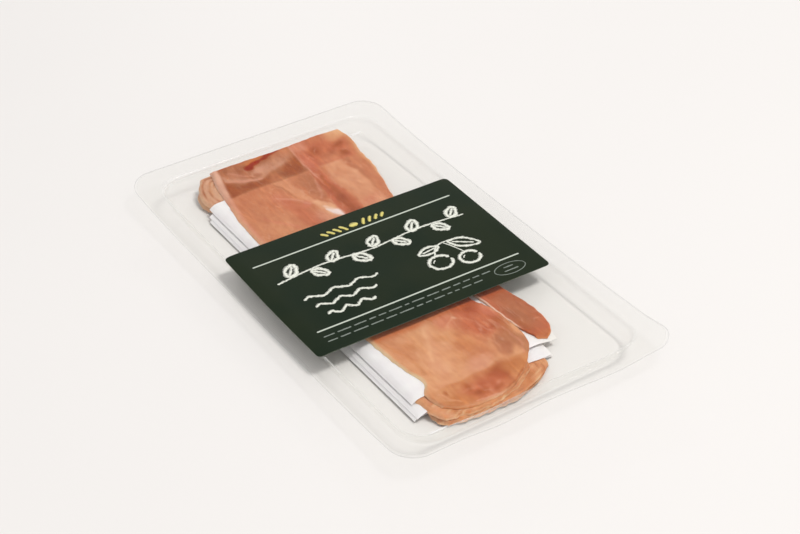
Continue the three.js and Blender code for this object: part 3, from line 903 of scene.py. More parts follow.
def paint_past_papers(meat, x, y):
    """Past both ends of the papers the wide slice lies on meat and looks darker, with a veil of thin fat
    and a spot of blood at the back."""
    beyond_back = smooth(PAPER_ENDS[1] - 1.0, PAPER_ENDS[1] + 0.9, y + 0.3 * noise(x, y, 4, 53))
    beyond_front = smooth(PAPER_ENDS[0] + 0.7, PAPER_ENDS[0] - 0.9, y + 0.4 * noise(x, y, 5, 47))
    meat.lay("brown", beyond_back, 0.7)
    meat.shade(beyond_back, (0.95, 0.93, 0.90))
    meat.lay("amber", beyond_front, 0.5)
    for name, centre, radii, fuzz, strength in [
        ("dark", (-17, 88), (15, 3.0), 0.4, 0.6),
        ("dark", (-19, 87.2), (7, 2.2), 0.6, 0.6),
        ("dark", (-30.2, 89.5), (4.0, 6.4), 0.4, 0.9),
        ("salmon", (-5, 87.5), (3.4, 3), 0.6, 0.5),
        ("dark", (6, 91), (5.6, 6.6), 0.5, 0.7),
        ("dark", (9.4, 95), (2.2, 6), 0.6, 0.6),
        ("dark", (4, 87.6), (3.6, 2), 0.7, 0.4),
    ]:
        meat.lay(name, spot(meat.x, meat.y, centre, radii, 0, fuzz) * beyond_back, strength)
    meat.spots([
        ("dusk", (-21, 100), (8.4, 6.8), -30, 0.4, 0.75),
        ("veil", (-23, 97), (5, 3), -40, 0.7, 0.45),
        ("brown", (-27, 103), (3, 3), 0, 0.7, 0.6),
        ("veil", (-8.4, 97), (5.4, 2.8), 14, 0.6, 0.8),
        ("blush", (-9, 96.5), (3.4, 1.8), 14, 0.8, 0.5),
        ("veil", (2, 98.5), (8, 4), 22, 0.5, 0.65),
        ("salmon", (6.5, 103.5), (6, 3), 0, 0.6, 0.7),
        ("amber", (-8, 104.8), (9, 1.6), 4, 0.5, 0.7),
        ("red", (-22, 105.6), (9, 1.2), 0, 0.6, 0.7),
    ])
    meat.streaks([
        ("veil", [(-29.4, 103, 0.7), (-28, 98, 1.0), (-22, 93.8, 1.4), (-15, 91.4, 1.3), (-10, 92.2, 1.3),
                  (-4, 95, 1.6), (3, 97, 1.2)], 0.7, 0.7),
        ("blush", [(-28.5, 97, 0.4), (-24, 94.4, 0.6), (-18, 92, 0.7), (-11, 91, 0.5)], 0.7, 0.75),
        ("blush", [(-25, 101, 0.35), (-19, 96, 0.45), (-13, 93.6, 0.4)], 0.8, 0.5),
        ("veil", [(-14, 95, 0.7), (-7, 98, 0.9)], 0.7, 0.6),
        ("ember", [(-12, 102.6, 1.2), (-6, 104.2, 1.3), (-1, 105, 1.0)], 0.7, 0.7),
        ("blood", [(-14.6, 99.8, 1.3), (-12.6, 100.4, 2.2), (-10.6, 101.8, 1.3), (-7.4, 101.6, 0.7)],
         0.35, 0.95),
        ("blood", [(-7.4, 101.6, 0.6), (-3.4, 102.6, 0.7), (-1.0, 104.0, 1.2), (1.6, 104.9, 1.5),
                   (4.0, 105.2, 1.1)], 0.35, 0.85),
    ])


def paint_front_details(meat):
    """Dark patches across the wide slice's front end, and pale threads over it and behind it."""
    meat.spots([
        ("dark", (-3.5, -89.5), (5.2, 3.6), 10, 0.6, 0.95),
        ("dark", (-1.4, -92.5), (2.6, 3.6), 0, 0.7, 0.5),
        ("red", (-12, -93.5), (11.5, 6), 8, 0.6, 0.8),
        ("dark", (-16.5, -95.6), (3.0, 1.6), 0, 0.7, 0.6),
        ("dark", (-9, -96.6), (2.4, 1.0), 15, 0.8, 0.4),
        ("blush", (-7.5, -94.4), (2, 0.8), 30, 0.8, 0.35),
        ("amber", (6, -90.6), (6.5, 5), -20, 0.5, 0.85),
        ("amber", (-27, -95.5), (7, 3), -20, 0.6, 0.7),
        ("dark", (-30.5, -89), (0.9, 1.8), 0, 0.8, 0.6),
        ("dark", (-20, -90.5), (1.1, 3), 0, 0.8, 0.55),
        ("tan", (-34, -87), (2.4, 7), 0, 0.6, 0.7),
    ])
    meat.streaks([
        ("peach", [(1, -50, 0.6), (-1.5, -51.6, 0.35), (-3.6, -53.8, 0.3)], 0.9, 0.5),
        ("peach", [(1, -50, 0.5), (4, -51.8, 0.3), (8.5, -56.2, 0.25)], 0.9, 0.35),
        ("pearl", [(0.4, -49.6, 0.4), (2.0, -50.4, 0.4)], 0.9, 0.5),
        ("peach", [(2.6, -45, 0.3), (1.2, -49.6, 0.45)], 0.9, 0.4),
        ("peach", [(0.6, -56, 0.3), (0.6, -60.4, 0.4)], 0.9, 0.4),
        ("peach", [(10.6, -58.6, 0.5), (11.4, -61, 0.7), (11.8, -62.6, 0.35)], 0.9, 0.4),
        ("peach", [(-32.6, -89, 0.4), (-30.6, -93.4, 0.5), (-26, -96.6, 0.4)], 0.8, 0.6),
        ("peach", [(-22, -92.6, 0.3), (-17, -91.8, 0.4), (-11, -93, 0.3)], 0.9, 0.35),
        ("blush", [(-20, -99.4, 0.25), (-15, -100.0, 0.4), (-12.6, -99.6, 0.25), (-8, -99.9, 0.4),
                   (-4.5, -99.4, 0.25)], 0.8, 0.7),
        ("dark", [(-6, -98.6, 0.4), (0, -97.2, 0.6), (7, -93.6, 0.5)], 0.8, 0.6),
    ])


def paint_wide_rims(meat, x, y, edge):
    """The wide slice's borders: a thin pale rim all round but on the right, a broad pale border at the
    back left with a brown line inside it, a cream one along the left side behind the label, a
    straw-coloured one at the front left, a reddish one at the back right and orange ones along the front.
    The back end of the pale border and the cream one are pale fat, painted paler still as painted light
    that offsets the shade on the slice's sloping left shoulder."""
    outside = np.minimum(edge["left"], np.minimum(edge["front"], edge["back"]))
    meat.lay("rind", 1 - smooth(0.05, 1.3, outside), 0.6)
    wavy = edge["left"] + 0.4 * noise(x, y, 5, 61)
    band = 2.6 + 0.9 * smooth(78, 98, y)
    border = (1 - smooth(band - 0.8, band + 1.2, wavy)) * smooth(30, 50, y)
    meat.lay("blush", border, 0.75)
    # Pale fat, and painted light: pearl over the border's back end offsets the shade on its sloping
    # shoulder.
    meat.lay("pearl", border * smooth(80, 90, y), 0.5)
    # Pale fat, and painted light: cream along the left rim offsets the shade on the left-facing shoulder.
    meat.lay("cream", (1 - smooth(0.4, 2.2, wavy)) * smooth(38, 50, y) * smooth(84, 70, y), 0.7)
    meat.lay("brown", np.exp(-(((wavy - band - 0.7) / 0.5) ** 2)) * smooth(82, 90, y), 0.5)
    rim = 1 - smooth(0.3, 2.0, wavy)
    meat.lay("straw", rim * smooth(-38, -46, y) * smooth(-86, -78, y), 0.75)
    meat.lay("blush", (1 - smooth(0.2, 1.3, edge["right"])) * smooth(74, 79, y), 0.75)
    meat.lay("amber", (1 - smooth(0.2, 1.0, edge["front"])) * smooth(-10, -2, x), 0.6)
    meat.lay("ember", (1 - smooth(0.1, 0.7, edge["front"])) * smooth(-16, -24, x), 0.6)


def paint_wide_slice(x, y, edge):
    """The wide top slice, lighter in front of the label than behind it, with a painted orange-red where the
    label's shadow falls along its front edge, as painted shade standing in for the red light in that
    shadow."""
    meat = Meat(x, y, "salmon", seed=3)
    meat.lay("tan", smooth(10, -46, y), 0.95)
    paint_long_muscles(meat)
    paint_mottled_muscle(meat)
    paint_past_papers(meat, x, y)
    paint_front_details(meat)
    # Painted shade: orange-red where the label's shadow falls along the front edge of the label.
    meat.lay("shadow_red", smooth(-48, -43, y + 0.7 * noise(x, y, 5, 67)) * smooth(-34, -36, y), 0.5)
    paint_wide_rims(meat, x, y, edge)
    return meat


def paint_strip_back(meat, x, y, edge):
    """The strip's back: redder past the papers, with orange fat along the right edge, widest round the
    corner."""
    beyond = smooth(PAPER_ENDS[1] - 1.2, PAPER_ENDS[1] + 1.2, y)
    meat.lay("red", beyond, 0.65)
    meat.spots([
        ("blush", (15.5, 103), (6, 4), 0, 0.6, 0.55),
        ("rose", (14.6, 91), (3.6, 7), 0, 0.7, 0.6),
        ("dark", (33.2, 88.6), (2.8, 2.2), 0, 0.6, 0.8),
        ("dark", (34.6, 95.5), (2.4, 1.8), 0, 0.7, 0.65),
        ("dark", (22, 96.5), (3.4, 2.4), 0, 0.7, 0.45),
        ("brown", (27, 92), (4, 2), 10, 0.8, 0.4),
        ("salmon", (27, 103.5), (5, 2.4), 0, 0.7, 0.6),
        ("salmon", (26, 88.5), (6, 2.6), 0, 0.7, 0.5),
    ])
    outer = edge["right"] + 0.6 * noise(x, y, 6, 71)
    width = 1.0 + 3.2 * smooth(60, 94, y)
    meat.lay("amber", (1 - smooth(width * 0.5, width * 1.7, outer)) * smooth(20, 50, y), 0.35)
    meat.lay("gold", (1 - smooth(width * 0.1, width * 1.2, outer)) * smooth(30, 60, y), 0.75)
    meat.lay("gold", spot(x, y, (37.6, 104), (6.5, 4.6), 30, 0.6), 0.8)
    meat.lay("cream", spot(x, y, (36, 104.8), (4, 1.6), 0, 0.8), 0.5)


def paint_strip(x, y, edge):
    """The narrow strip: a dark muscle beside a lighter one behind the label, orange fat along its right
    edge and widest round its back corner, and a lobe of even red meat in front."""
    meat = Meat(x, y, "salmon", seed=13)
    meat.lay("red", smooth(20, -40, y), 0.9)
    meat.streaks([
        ("red", [(12.4, 86, 1.8), (13, 74, 3.0), (12.6, 60, 4.2), (12, 42, 4.2), (15, 10, 4)], 0.4, 0.85),
        ("dark", [(13.4, 78, 0.8), (12.4, 66, 1.6), (12, 54, 3), (11.4, 42, 3)], 0.8, 0.65),
        ("peach", [(24.5, 86, 4.6), (24.4, 72, 6), (23.6, 56, 5.4), (23, 40, 5.6), (23, 10, 4)],
         0.4, 0.65),
        ("cream", [(19.6, 85, 0.35), (18.6, 74, 0.35)], 0.7, 0.4),
        ("salmon", [(33.6, 90, 2.4), (34, 74, 2.6), (33, 58, 2.2), (31, 46, 1.6)], 0.5, 0.8),
        ("brown", [(32, 84, 0.8), (31.6, 70, 0.9), (30.2, 56, 0.9)], 0.9, 0.4),
        ("blush", [(17.4, 78, 0.6), (16.8, 64, 0.5)], 0.8, 0.4),
    ])
    meat.spots([
        ("salmon", (24, 75), (3, 3), 0, 0.8, 0.4),
        ("rose", (24, 46), (6, 4), 0, 0.7, 0.4),
        ("cream", (28, 44), (3, 5), 0, 0.7, 0.3),
    ])
    paint_strip_back(meat, x, y, edge)
    meat.spots([
        ("dusk", (28.5, -60), (7, 14), 0, 0.6, 0.85),
        ("brown", (26, -66), (4, 8), -10, 0.8, 0.5),
        ("rose", (22, -46), (1.4, 4), 0, 0.6, 0.5),
        ("amber", (28.4, -80), (5, 2.4), 0, 0.6, 0.6),
        # Painted shade: orange-red where the label's shadow falls on the strip.
        ("shadow_red", (27, -42), (8, 4), 0, 0.8, 0.5),
        ("dark", (24, -72), (2, 6), -10, 0.8, 0.4),
    ])
    outside = np.minimum(edge["right"], np.minimum(edge["front"], edge["back"]))
    meat.lay("rind", 1 - smooth(0.05, 0.9, outside), 0.5)
    rim = 1 - smooth(0.3, 0.9, edge["left"])
    meat.lay("pearl", rim * smooth(-74, -68, y) * smooth(-30, -46, y), 0.9)
    meat.lay("blush", rim * smooth(66, 80, y), 0.6)
    meat.lay("peach", (1 - smooth(0.2, 1.0, edge["right"])) * smooth(20, -10, y), 0.8)
    meat.lay("ember", 1 - smooth(0.1, 0.8, edge["front"]), 0.5)
    return meat


# Bands along a lower slice's outline: how far in from it, half width, colour and strength.
EDGE_BANDS = [
    (1.0, 0.5, "gold", 0.7),
    (2.4, 0.35, "brown", 0.45),
    (3.6, 0.45, "blush", 0.7),
    (5.0, 0.3, "brown", 0.45),
    (6.3, 0.6, "gold", 0.5),
    (8.2, 0.4, "brown", 0.6),
    (10.5, 0.6, "peach", 0.6),
    (13, 1.2, "red", 0.4),
]
BACK_SEAMS = [(2.4, 0.4), (5.4, 0.45)]
STRAND_TURN = math.radians(24)


def paint_lower_slice(seed):
    """A lower slice, seen only at its edges: broken bands of muscle and fat that roughly follow its
    outline, each a bell curve of the wavy distance from it, dark seams at the back, and at the front
    short pale and dark strands that lean to the right as they run back."""
    def paint(x, y, edge):
        """The slice's meat at arrays of points and of distances from its edges."""
        meat = Meat(x, y, "tan", seed=seed)
        rim = np.minimum(np.minimum(edge["left"], edge["right"]), np.minimum(edge["front"], edge["back"]))
        wavy = rim + 0.5 * noise(x, y, 9, seed + 5) + 0.25 * noise(x, y, 2.6, seed + 7)
        front = smooth(-84, -94, y)
        back = smooth(60, 84, y)
        meat.lay("amber", front * (0.5 + 0.5 * noise(x, y, 3.4, seed)), 0.7)
        meat.lay("ember", front * smooth(0.1, 0.7, noise(x, y / 0.5, 4.5, seed + 8)), 0.35)
        meat.lay("bark", back, 0.85)
        meat.lay("peach", front * smooth(-30, -38, x), 0.55)
        for place, width, name, strength in EDGE_BANDS:
            band = np.exp(-(((wavy - place - 0.5 * noise(x, y, 10, seed + 6)) / width) ** 2))
            broken = smooth(-0.25, 0.5, noise(x, y, 4.5, seed + 11 + round(place)))
            meat.lay(name, band * broken, strength)
        for place, width in BACK_SEAMS:
            seam = np.exp(-(((wavy - place - 0.6 * noise(x, y, 7, seed + 12)) / width) ** 2))
            meat.lay("dark", seam * back, 0.6)
        along = x * math.cos(STRAND_TURN) + y * math.sin(STRAND_TURN)
        across = y * math.cos(STRAND_TURN) - x * math.sin(STRAND_TURN)
        meat.lay("straw", smooth(0.25, 0.7, noise(along / 7, across, 0.9, seed + 9)) * front, 0.45)
        meat.lay("sienna", smooth(0.25, 0.7, noise(along / 3, across, 1.1, seed + 10)) * front, 0.6)
        meat.lay("rind", 1 - smooth(0.05, 0.8, rim), 0.55)
        return meat
    return paint


# Each slice: its outline, the level of its underside in the stack, its solid, its painter, its grid's
# step, how ragged its edge is, the gap it leaves to the layer beneath past the papers' ends, how far its
# free parts are drawn together, how far its bare edge hangs down, and the side on which it meets its
# neighbour.
SLICES = {
    "slice_fourth": dict(
        outline=dict(
            front=[[-32.5, -97], [-25, -99], [-12, -99.6], [3, -97.4], [15, -89.4]],
            right=[[24, -78], [26, 0], [30, 80]],
            back=[[-37.2, 102.4], [0, 104.2], [31, 102.8]],
            left=[
                [-36.2, -93], [-40, -84], [-43, -40], [-42, 40], [-40.6, 83], [-42.6, 90.5],
                [-42.4, 97]]),
        level=0.3, node="ham_slice_4", painter=paint_lower_slice(101), step=0.9,
        ragged=2.2, gap=0.0, closing=SLICE_CLOSING),
    "slice_third": dict(
        outline=dict(
            front=[
                [-36.4, -101], [-27, -102.8], [-15, -103.4], [-5, -103.7], [4, -101.6], [12, -97.4],
                [18.6, -91.6]],
            right=[[22.8, -84], [27, 0], [33, 80]],
            back=[[-37.8, 104.2], [0, 105.2], [34, 103.8]],
            left=[
                [-38.8, -97.4], [-39.6, -92], [-41, -80], [-42, -40], [-42, 50], [-41.2, 83],
                [-43.4, 89.5], [-43.8, 93.5], [-42.6, 99]]),
        level=2.0, node="ham_slice_3", painter=paint_lower_slice(151), step=0.9,
        ragged=2.2, gap=0.5, drape=1.1, closing=DRAPED_CLOSING),
    "slice_second": dict(
        outline=dict(
            front=[[-37.2, -99.6], [-20, -102.6], [-2, -100.6], [10.5, -93.5]],
            right=[[15.5, -80], [29, 0], [37, 82]],
            back=[[-37.0, 106.0], [0, 106.4], [36, 105]],
            left=[
                [-40.4, -92], [-41.3, -80], [-41.3, -50], [-41.5, 50], [-41.0, 83],
                [-42.6, 88.5], [-43.4, 93], [-42.0, 99.5]]),
        level=3.7, node="ham_slice_2", painter=paint_lower_slice(201), step=0.9,
        ragged=2.0, gap=0.5, closing=SLICE_CLOSING),
    "slice_top_wide": dict(
        outline=dict(
            front=[[-34.6, -94.4], [-25.7, -99.6], [-11.7, -100.6], [0.3, -98], [11.3, -90.6]],
            right=[
                [19.2, -81], [20.9, -72], [20.9, -61], [20.2, -54], [18.6, -48.5], [16.4, -42], [14, 0],
                [10, 50], [11.6, 80]],
            back=[[-31.8, 106.4], [-15, 106.6], [0, 106.6], [11.7, 106.4]],
            left=[[-37.1, -85], [-33, -76], [-36.3, -52], [-39.2, 45], [-35.1, 86], [-33.4, 99]]),
        level=5.4, node="ham_slice_1_wide", painter=paint_wide_slice, step=0.62,
        ragged=1.0, gap=0.5, closing=0.0, joined="right"),
    "slice_top_strip": dict(
        outline=dict(
            front=[[24.4, -80.2], [28.6, -81.5], [32.8, -79.6]],
            right=[
                [35.0, -75.5], [36.3, -67], [36.1, -58], [34.8, -49], [33.4, -38], [31.5, 5], [33.6, 42],
                [38.0, 58.7], [39.6, 66], [41.8, 74.5], [42.3, 84.5], [43.8, 97]],
            back=[[11.9, 106.4], [25, 106.6], [40.9, 106.3]],
            left=[
                [23.8, -78], [21.7, -70], [20.7, -60], [20.1, -50], [19.8, -44], [15.2, 0],
                [10.4, 50], [12.0, 80]]),
        level=5.4, node="ham_slice_1_strip", painter=paint_strip, step=0.62,
        ragged=1.2, gap=0.5, closing=LOBE_CLOSING, joined="left"),
}


# How far a slice settles below its level, how wide its rounded shoulder is, and the share of its thickness
# that its edge keeps.
LIE = 0.26
SHOULDER = 1.7
EDGE_SHARE = 0.09
# The least gap to the tray's floor, how far past the papers' ends a slice has come down on the meat beneath
# it, and how far its top has settled there.
FLOOR_CLEARANCE = 0.03
PAST_PAPER_REACH = 2.4
TOP_SETTLING = 0.1
# How far in from its edge a draped slice bends down, and the stretches of Y over which its ends turn bare.
DRAPE_REACH = 3.0
BARE_FRONT = (-90.8, -93.4)
BARE_BACK = (PAPER_ENDS[1] - 3, PAPER_ENDS[1])
# The seam of the two top slices: from which Y on they touch, and over what stretch that comes in, how full
# their shoulders stay, how far the strip runs under the wide slice, and how it dips there.
JOINED_FROM = 38
JOINED_BLEND = 4
SEAM_FULLNESS = 1.1
SEAM_OVERLAP = 0.8
SEAM_DIP = 0.35
SEAM_DIP_REACH = 0.7


def slice_plan(spec, seed):
    """A slice from above, as a grid of X and Y and of distances from its four edges: the patch in its
    outline. Noise along an edge moves its points sideways, and dies away inwards as exp(-distance /
    reach)."""
    place = patch(**spec["outline"])
    ends = place(np.array([0.0, 1.0, 0.5, 0.5]), np.array([0.5, 0.5, 0.0, 1.0]))
    width = np.linalg.norm(ends[1] - ends[0])
    length = np.linalg.norm(ends[3] - ends[2])
    u, v = np.meshgrid(shares(width, spec["step"]), shares(length, spec["step"]))
    x, y = np.moveaxis(place(u, v), -1, 0)
    across = np.hypot(*np.moveaxis(place(np.ones_like(v), v) - place(np.zeros_like(v), v), -1, 0))
    edge = {"left": u * across, "right": (1 - u) * across, "front": v * length, "back": (1 - v) * length}
    ragged = spec["ragged"]
    ragged_side = ragged * (0.22 * noise(y, 0 * y, 3.1, seed) + 0.12 * noise(y, 0 * y, 1.1, seed + 1))
    ragged_end = ragged * (0.28 * noise(x, 0 * x, 3.3, seed + 2) + 0.16 * noise(x, 0 * x, 1.2, seed + 3))
    reach = 1.0 + 0.5 * ragged
    x = x + ragged_side * (np.exp(-edge["left"] / reach) - np.exp(-edge["right"] / reach))
    y = y + ragged_end * (np.exp(-edge["front"] / reach) - np.exp(-edge["back"] / reach))
    return x, y, edge


def make_slice(name, spec, seed, finish):
    """A slice: it lies on what is beneath it, on its whole underside, and rises from a thin edge over a
    rounded shoulder, a quarter of a sine wave, to its thickness, with slow folds and its fat standing a
    little proud. Past the papers' ends it lies on the slice beneath, and by its drape its edge hangs down
    over that one's edge, but never through the tray's floor. On the side where it meets its neighbour it
    keeps its thickness, and behind the label the strip's edge dips and runs a little way under the wide
    slice's."""
    x, y, edge = slice_plan(spec, seed)
    side = spec.get("joined")
    joined = smooth(JOINED_FROM - JOINED_BLEND, JOINED_FROM + JOINED_BLEND, y)
    free = dict(edge)
    if side:
        free[side] = edge[side] + SEAM_FULLNESS + SEAM_FULLNESS * joined
    if side == "left":
        x = x - SEAM_OVERLAP * joined * np.exp(-edge["left"] / SEAM_OVERLAP)
    rim = np.minimum(np.minimum(free["left"], free["right"]), np.minimum(free["front"], free["back"]))
    shoulder = np.sin(np.clip(rim / SHOULDER, 0, 1) * math.pi / 2)
    meat = spec["painter"](x, y, edge)
    beyond = smooth(PAPER_ENDS[1], PAPER_ENDS[1] + PAST_PAPER_REACH, y)
    beyond = beyond + smooth(PAPER_ENDS[0], PAPER_ENDS[0] - PAST_PAPER_REACH, y)
    bare = smooth(*BARE_FRONT, y) + smooth(*BARE_BACK, y)
    drop = spec.get("drape", 0.0) * bare * (1 - smooth(0, DRAPE_REACH, rim))
    level, closing = spec["level"], spec["closing"]
    low = stack_height(level - LIE, x, y, closing) - spec["gap"] * beyond - drop
    low = np.maximum(low, SHEET + FLOOR_CLEARANCE + bow(y))
    top = stack_height(level + SLICE_THICKNESS, x, y, closing) - TOP_SETTLING * beyond - drop
    folds = 0.07 * noise(x, y / 1.8, 8, seed + 4) + 0.03 * noise(x, y / 3, 2.4, seed + 5)
    relief = (folds + 0.07 * (meat.fat - 0.3)) * shoulder
    high = low + (top - low) * (EDGE_SHARE + (1 - EDGE_SHARE) * shoulder) + relief
    if side == "left":
        high = high - SEAM_DIP * joined * np.exp(-edge["left"] / SEAM_DIP_REACH)
    piece = grid_body(name, np.stack([x, y, low], -1), np.stack([x, y, high], -1), finish)
    set_values(piece, "paint", "FLOAT_COLOR", np.concatenate([meat.linear().reshape(-1, 4)] * 2))
    set_values(piece, "fat", "FLOAT", np.concatenate([meat.fat.ravel()] * 2))
    stands_for(piece, "ham", spec["node"])


def make_slices():
    """All slices, from the bottom of the stack up, each with seeds of its own."""
    finish = cured_ham()
    for number, (name, spec) in enumerate(SLICES.items()):
        make_slice(name, spec, 300 + 20 * number, finish)


# ---- Label ----

# The label's gap over the film and how slack it is, its grid, and how its left edge bows out.
LABEL_LIFT = 0.05
LABEL_SLACK = 0.06
LABEL_STEP = 1.5
LABEL_RIM_ROWS = (0, 0.1, 0.5)
LEFT_BULGE = 0.5
LEFT_BULGE_REACH = 8
# The print's gap over the label.
INK_LIFT = 0.01


def label_to_pack(x, y):
    """A point of the label's own plane, centred on it, in the pack's X and Y."""
    c, s = math.cos(LABEL_TURN), math.sin(LABEL_TURN)
    return LABEL_CENTRE[0] + x * c - y * s, LABEL_CENTRE[1] + x * s + y * c


def label_height(x, y):
    """Underside of the label on the film, in the pack's X and Y: it lies on the film, a little slack."""
    inset = CAVITY_HALF_WIDTH - np.abs(x)
    film = film_height(inset, x, y) + FILM_THICKNESS + bow(y) + flange_warp(x, y)
    return film + LABEL_LIFT + LABEL_SLACK * (1 + noise(x, y, 24, 91))


def make_label():
    """The label: a grid pressed into a rectangle with round corners, its left edge bowed out by a cosine
    of Y."""
    half = LABEL_SIZE / 2
    u, v = np.meshgrid(*[shares(side, LABEL_STEP, LABEL_RIM_ROWS) for side in LABEL_SIZE])
    x, y = (2 * u - 1) * half[0], (2 * v - 1) * half[1]
    a = np.clip((np.abs(x) - half[0] + LABEL_CORNER) / LABEL_CORNER, 0, 1)
    b = np.clip((np.abs(y) - half[1] + LABEL_CORNER) / LABEL_CORNER, 0, 1)
    x = x - np.sign(x) * LABEL_CORNER * a * (1 - np.sqrt(1 - b * b / 2)) * (b > 0)
    y = y - np.sign(y) * LABEL_CORNER * b * (1 - np.sqrt(1 - a * a / 2)) * (a > 0)
    rim = np.minimum(half[0] - np.abs(x), half[1] - np.abs(y))
    left_bulge = LEFT_BULGE * np.cos(np.clip(y / half[1], -1, 1) * math.pi / 2)
    x = x - left_bulge * np.exp(-(x + half[0]) / LEFT_BULGE_REACH)
    px, py = label_to_pack(x, y)
    low = label_height(px, py)
    lower = np.stack([px, py, low], -1)
    upper = lower + np.array([0, 0, LABEL_THICKNESS])
    piece = grid_body("label_sheet", lower, upper, printed_label(), crease=40)
    cut = 1 - smooth(0.0, 0.1, rim)
    set_values(piece, "cut_edge", "FLOAT", np.concatenate([np.ones(cut.size), cut.ravel()]))
    stands_for(piece, "label", "label")


STROKE_STEP = 0.3


def stroke_sections(route, width, rough, seed):
    """A stroke of print on the label's plane, as three lines of points (left edge, middle, right edge) at
    steps along the spline through its route, and the run along it in millimetres. Its half width is that
    of the stroke, narrowed as a square root near both ends and uneven by noise along the run."""
    length = np.linalg.norm(np.diff(np.asarray(route, float), axis=0), axis=1).sum()
    t = np.linspace(0, 1, max(4, round(length / STROKE_STEP)) + 1)
    spine = spline(route)(t)
    ahead = np.gradient(spine, axis=0)
    ahead /= np.linalg.norm(ahead, axis=1, keepdims=True) + 1e-9
    side = np.stack([-ahead[:, 1], ahead[:, 0]], -1)
    run = t * length
    taper = np.sqrt(np.clip(np.minimum(t, 1 - t) * length / (0.4 * width), 0.02, 1))
    edges = []
    for way, shift in ((1, 0), (-1, 7)):
        crumbs = 0.6 * noise(run, 0 * run, 1.1, seed + shift)
        wobble = 1 + rough * (crumbs + 0.5 * noise(run, 0 * run, 0.4, seed + shift + 1))
        edges.append(spine + side * (way * width / 2 * taper * wobble)[:, None])
    return (edges[0], spine, edges[1]), run


def make_strokes(name, strokes, finish, height, rough, seed):
    """Strokes of print on the label, as one piece. Each is (points, width) and becomes a low ridge: a
    section of two edges on the label and a raised middle, carried along the stroke, closed by a flat
    underside and by a small triangle at each end. rough is how uneven the width is, as a share."""
    points, quads, ends, uv = [], [], [], []
    total = 0
    for number, (route, width) in enumerate(strokes):
        lines, run = stroke_sections(route, width, rough, seed + number * 3)
        for column, (line, lift) in enumerate(zip(lines, (0.0, height, 0.0))):
            px, py = label_to_pack(*line.T)
            z = label_height(px, py) + LABEL_THICKNESS + INK_LIFT + lift
            points.append(np.stack([px, py, z], -1))
            uv.append(np.stack([run, np.full_like(run, (1 - column) * width / 2)], -1))
        rows = total + np.arange(3)[:, None] * len(run) + np.arange(len(run))[None, :]
        for first, second in ((0, 1), (1, 2), (2, 0)):
            a, b = rows[first][:-1], rows[first][1:]
            quads.append(np.stack([a, rows[second][:-1], rows[second][1:], b], -1))
        start, end = rows[:, 0], rows[:, -1]
        ends += [start[[0, 2, 1]], end[[0, 1, 2]]]
        total += 3 * len(run)
    points, quads = np.concatenate(points), np.concatenate(quads)
    piece = mesh_piece(name, points, quads, finish, crease=180, triangles=ends)
    layer = piece.data.uv_layers.new(name="stroke")
    corners = np.zeros(len(piece.data.loops), np.int32)
    piece.data.loops.foreach_get("vertex_index", corners)
    layer.data.foreach_set("uv", np.concatenate(uv)[corners].astype(np.float32).ravel())
    stands_for(piece, "label")


def leaf(base, tip, fullness, widths):
    """Strokes of a leaf: two outlines from base to tip, bowed apart by fullness as a share of its length,
    and its midrib."""
    base, tip = np.array(base, float), np.array(tip, float)
    along = tip - base
    side = np.array([-along[1], along[0]]) * fullness
    upper = [base, base + 0.35 * along + side, base + 0.75 * along + 0.7 * side, tip]
    lower = [base, base + 0.35 * along - side, base + 0.75 * along - 0.7 * side, tip]
    rib = [base + 0.15 * along, base + 0.8 * along]
    return list(zip((upper, lower, rib), widths))


def arc_stroke(centre, radii, start, end, count):
    """Points on an ellipse from one angle to another, in radians."""
    angle = np.linspace(start, end, count)
    return np.stack([centre[0] + radii[0] * np.cos(angle), centre[1] + radii[1] * np.sin(angle)], -1)


BRANCH_Y = 13.0
BRANCH_LEAVES = 9
LEAF_REACH = np.array([6.2, 8.2])
BRANCH_WIDTHS = (2.1, 2.2, 1.5)
SPRIG_WIDTHS = (1.5, 1.6, 1.1)
FRUITS = [(20, -14, 5.6), (33.5, -17.5, 5.0)]
WAVES_Y = (-5, -12, -19)
WAVE_POINTS = 13


def chalk_design():
    """A generic design: a branch between the rules, with leaves above and below it in turn, and under it,
    to the right, a sprig with two leaves and two round fruits; three short waves stand at the left."""
    branch = [(-50, BRANCH_Y - 1.5), (-25, BRANCH_Y + 1), (0, BRANCH_Y - 1), (25, BRANCH_Y + 1),
              (50, BRANCH_Y - 1)]
    strokes = [(branch, 1.2)]
    for number, x in enumerate(np.linspace(-43, 43, BRANCH_LEAVES)):
        up = 1 if number % 2 == 0 else -1
        rise = LEAF_REACH[1] * up * (0.86 if number % 3 else 1)
        base, tip = (x, BRANCH_Y + 0.3 * up), (x + LEAF_REACH[0], BRANCH_Y + rise)
        strokes += leaf(base, tip, 0.26, BRANCH_WIDTHS)
    for x, y, radius in FRUITS:
        strokes.append((arc_stroke((x, y), (radius, 0.88 * radius), 0.3, 2 * math.pi + 0.1, 15), 1.8))
        strokes.append((arc_stroke((x, y), (0.6 * radius, 0.5 * radius), 2.0, 2.9, 4), 0.8))
    strokes.append(([(20, -9), (24, -3.5), (30, -1.5), (40, -3)], 0.9))
    strokes.append(([(33.5, -13), (31.5, -7), (29, -2)], 0.8))
    for base, tip in (((31, -2), (44, -11)), ((26, -3), (14, -4.5))):
        strokes += leaf(base, tip, 0.2, SPRIG_WIDTHS)
    for row, y in enumerate(WAVES_Y):
        x = np.linspace(-46 + 2 * row, -8 - 5 * row, WAVE_POINTS)
        strokes.append((np.stack([x, y + 1.3 * np.sin(np.arange(WAVE_POINTS) * math.pi / 2)], -1), 1.6))
    return strokes


BAR_ROWS = [(-31.6, 31.0), (-35.2, 27.0)]
BARS_START = -52.0
BAR_GAP = 1.3
OVAL_CENTRE = (43.4, -34.4)


def straight(start, end, y):
    """The route of a level stroke."""
    return [(start, y), ((start + end) / 2, y), (end, y)]


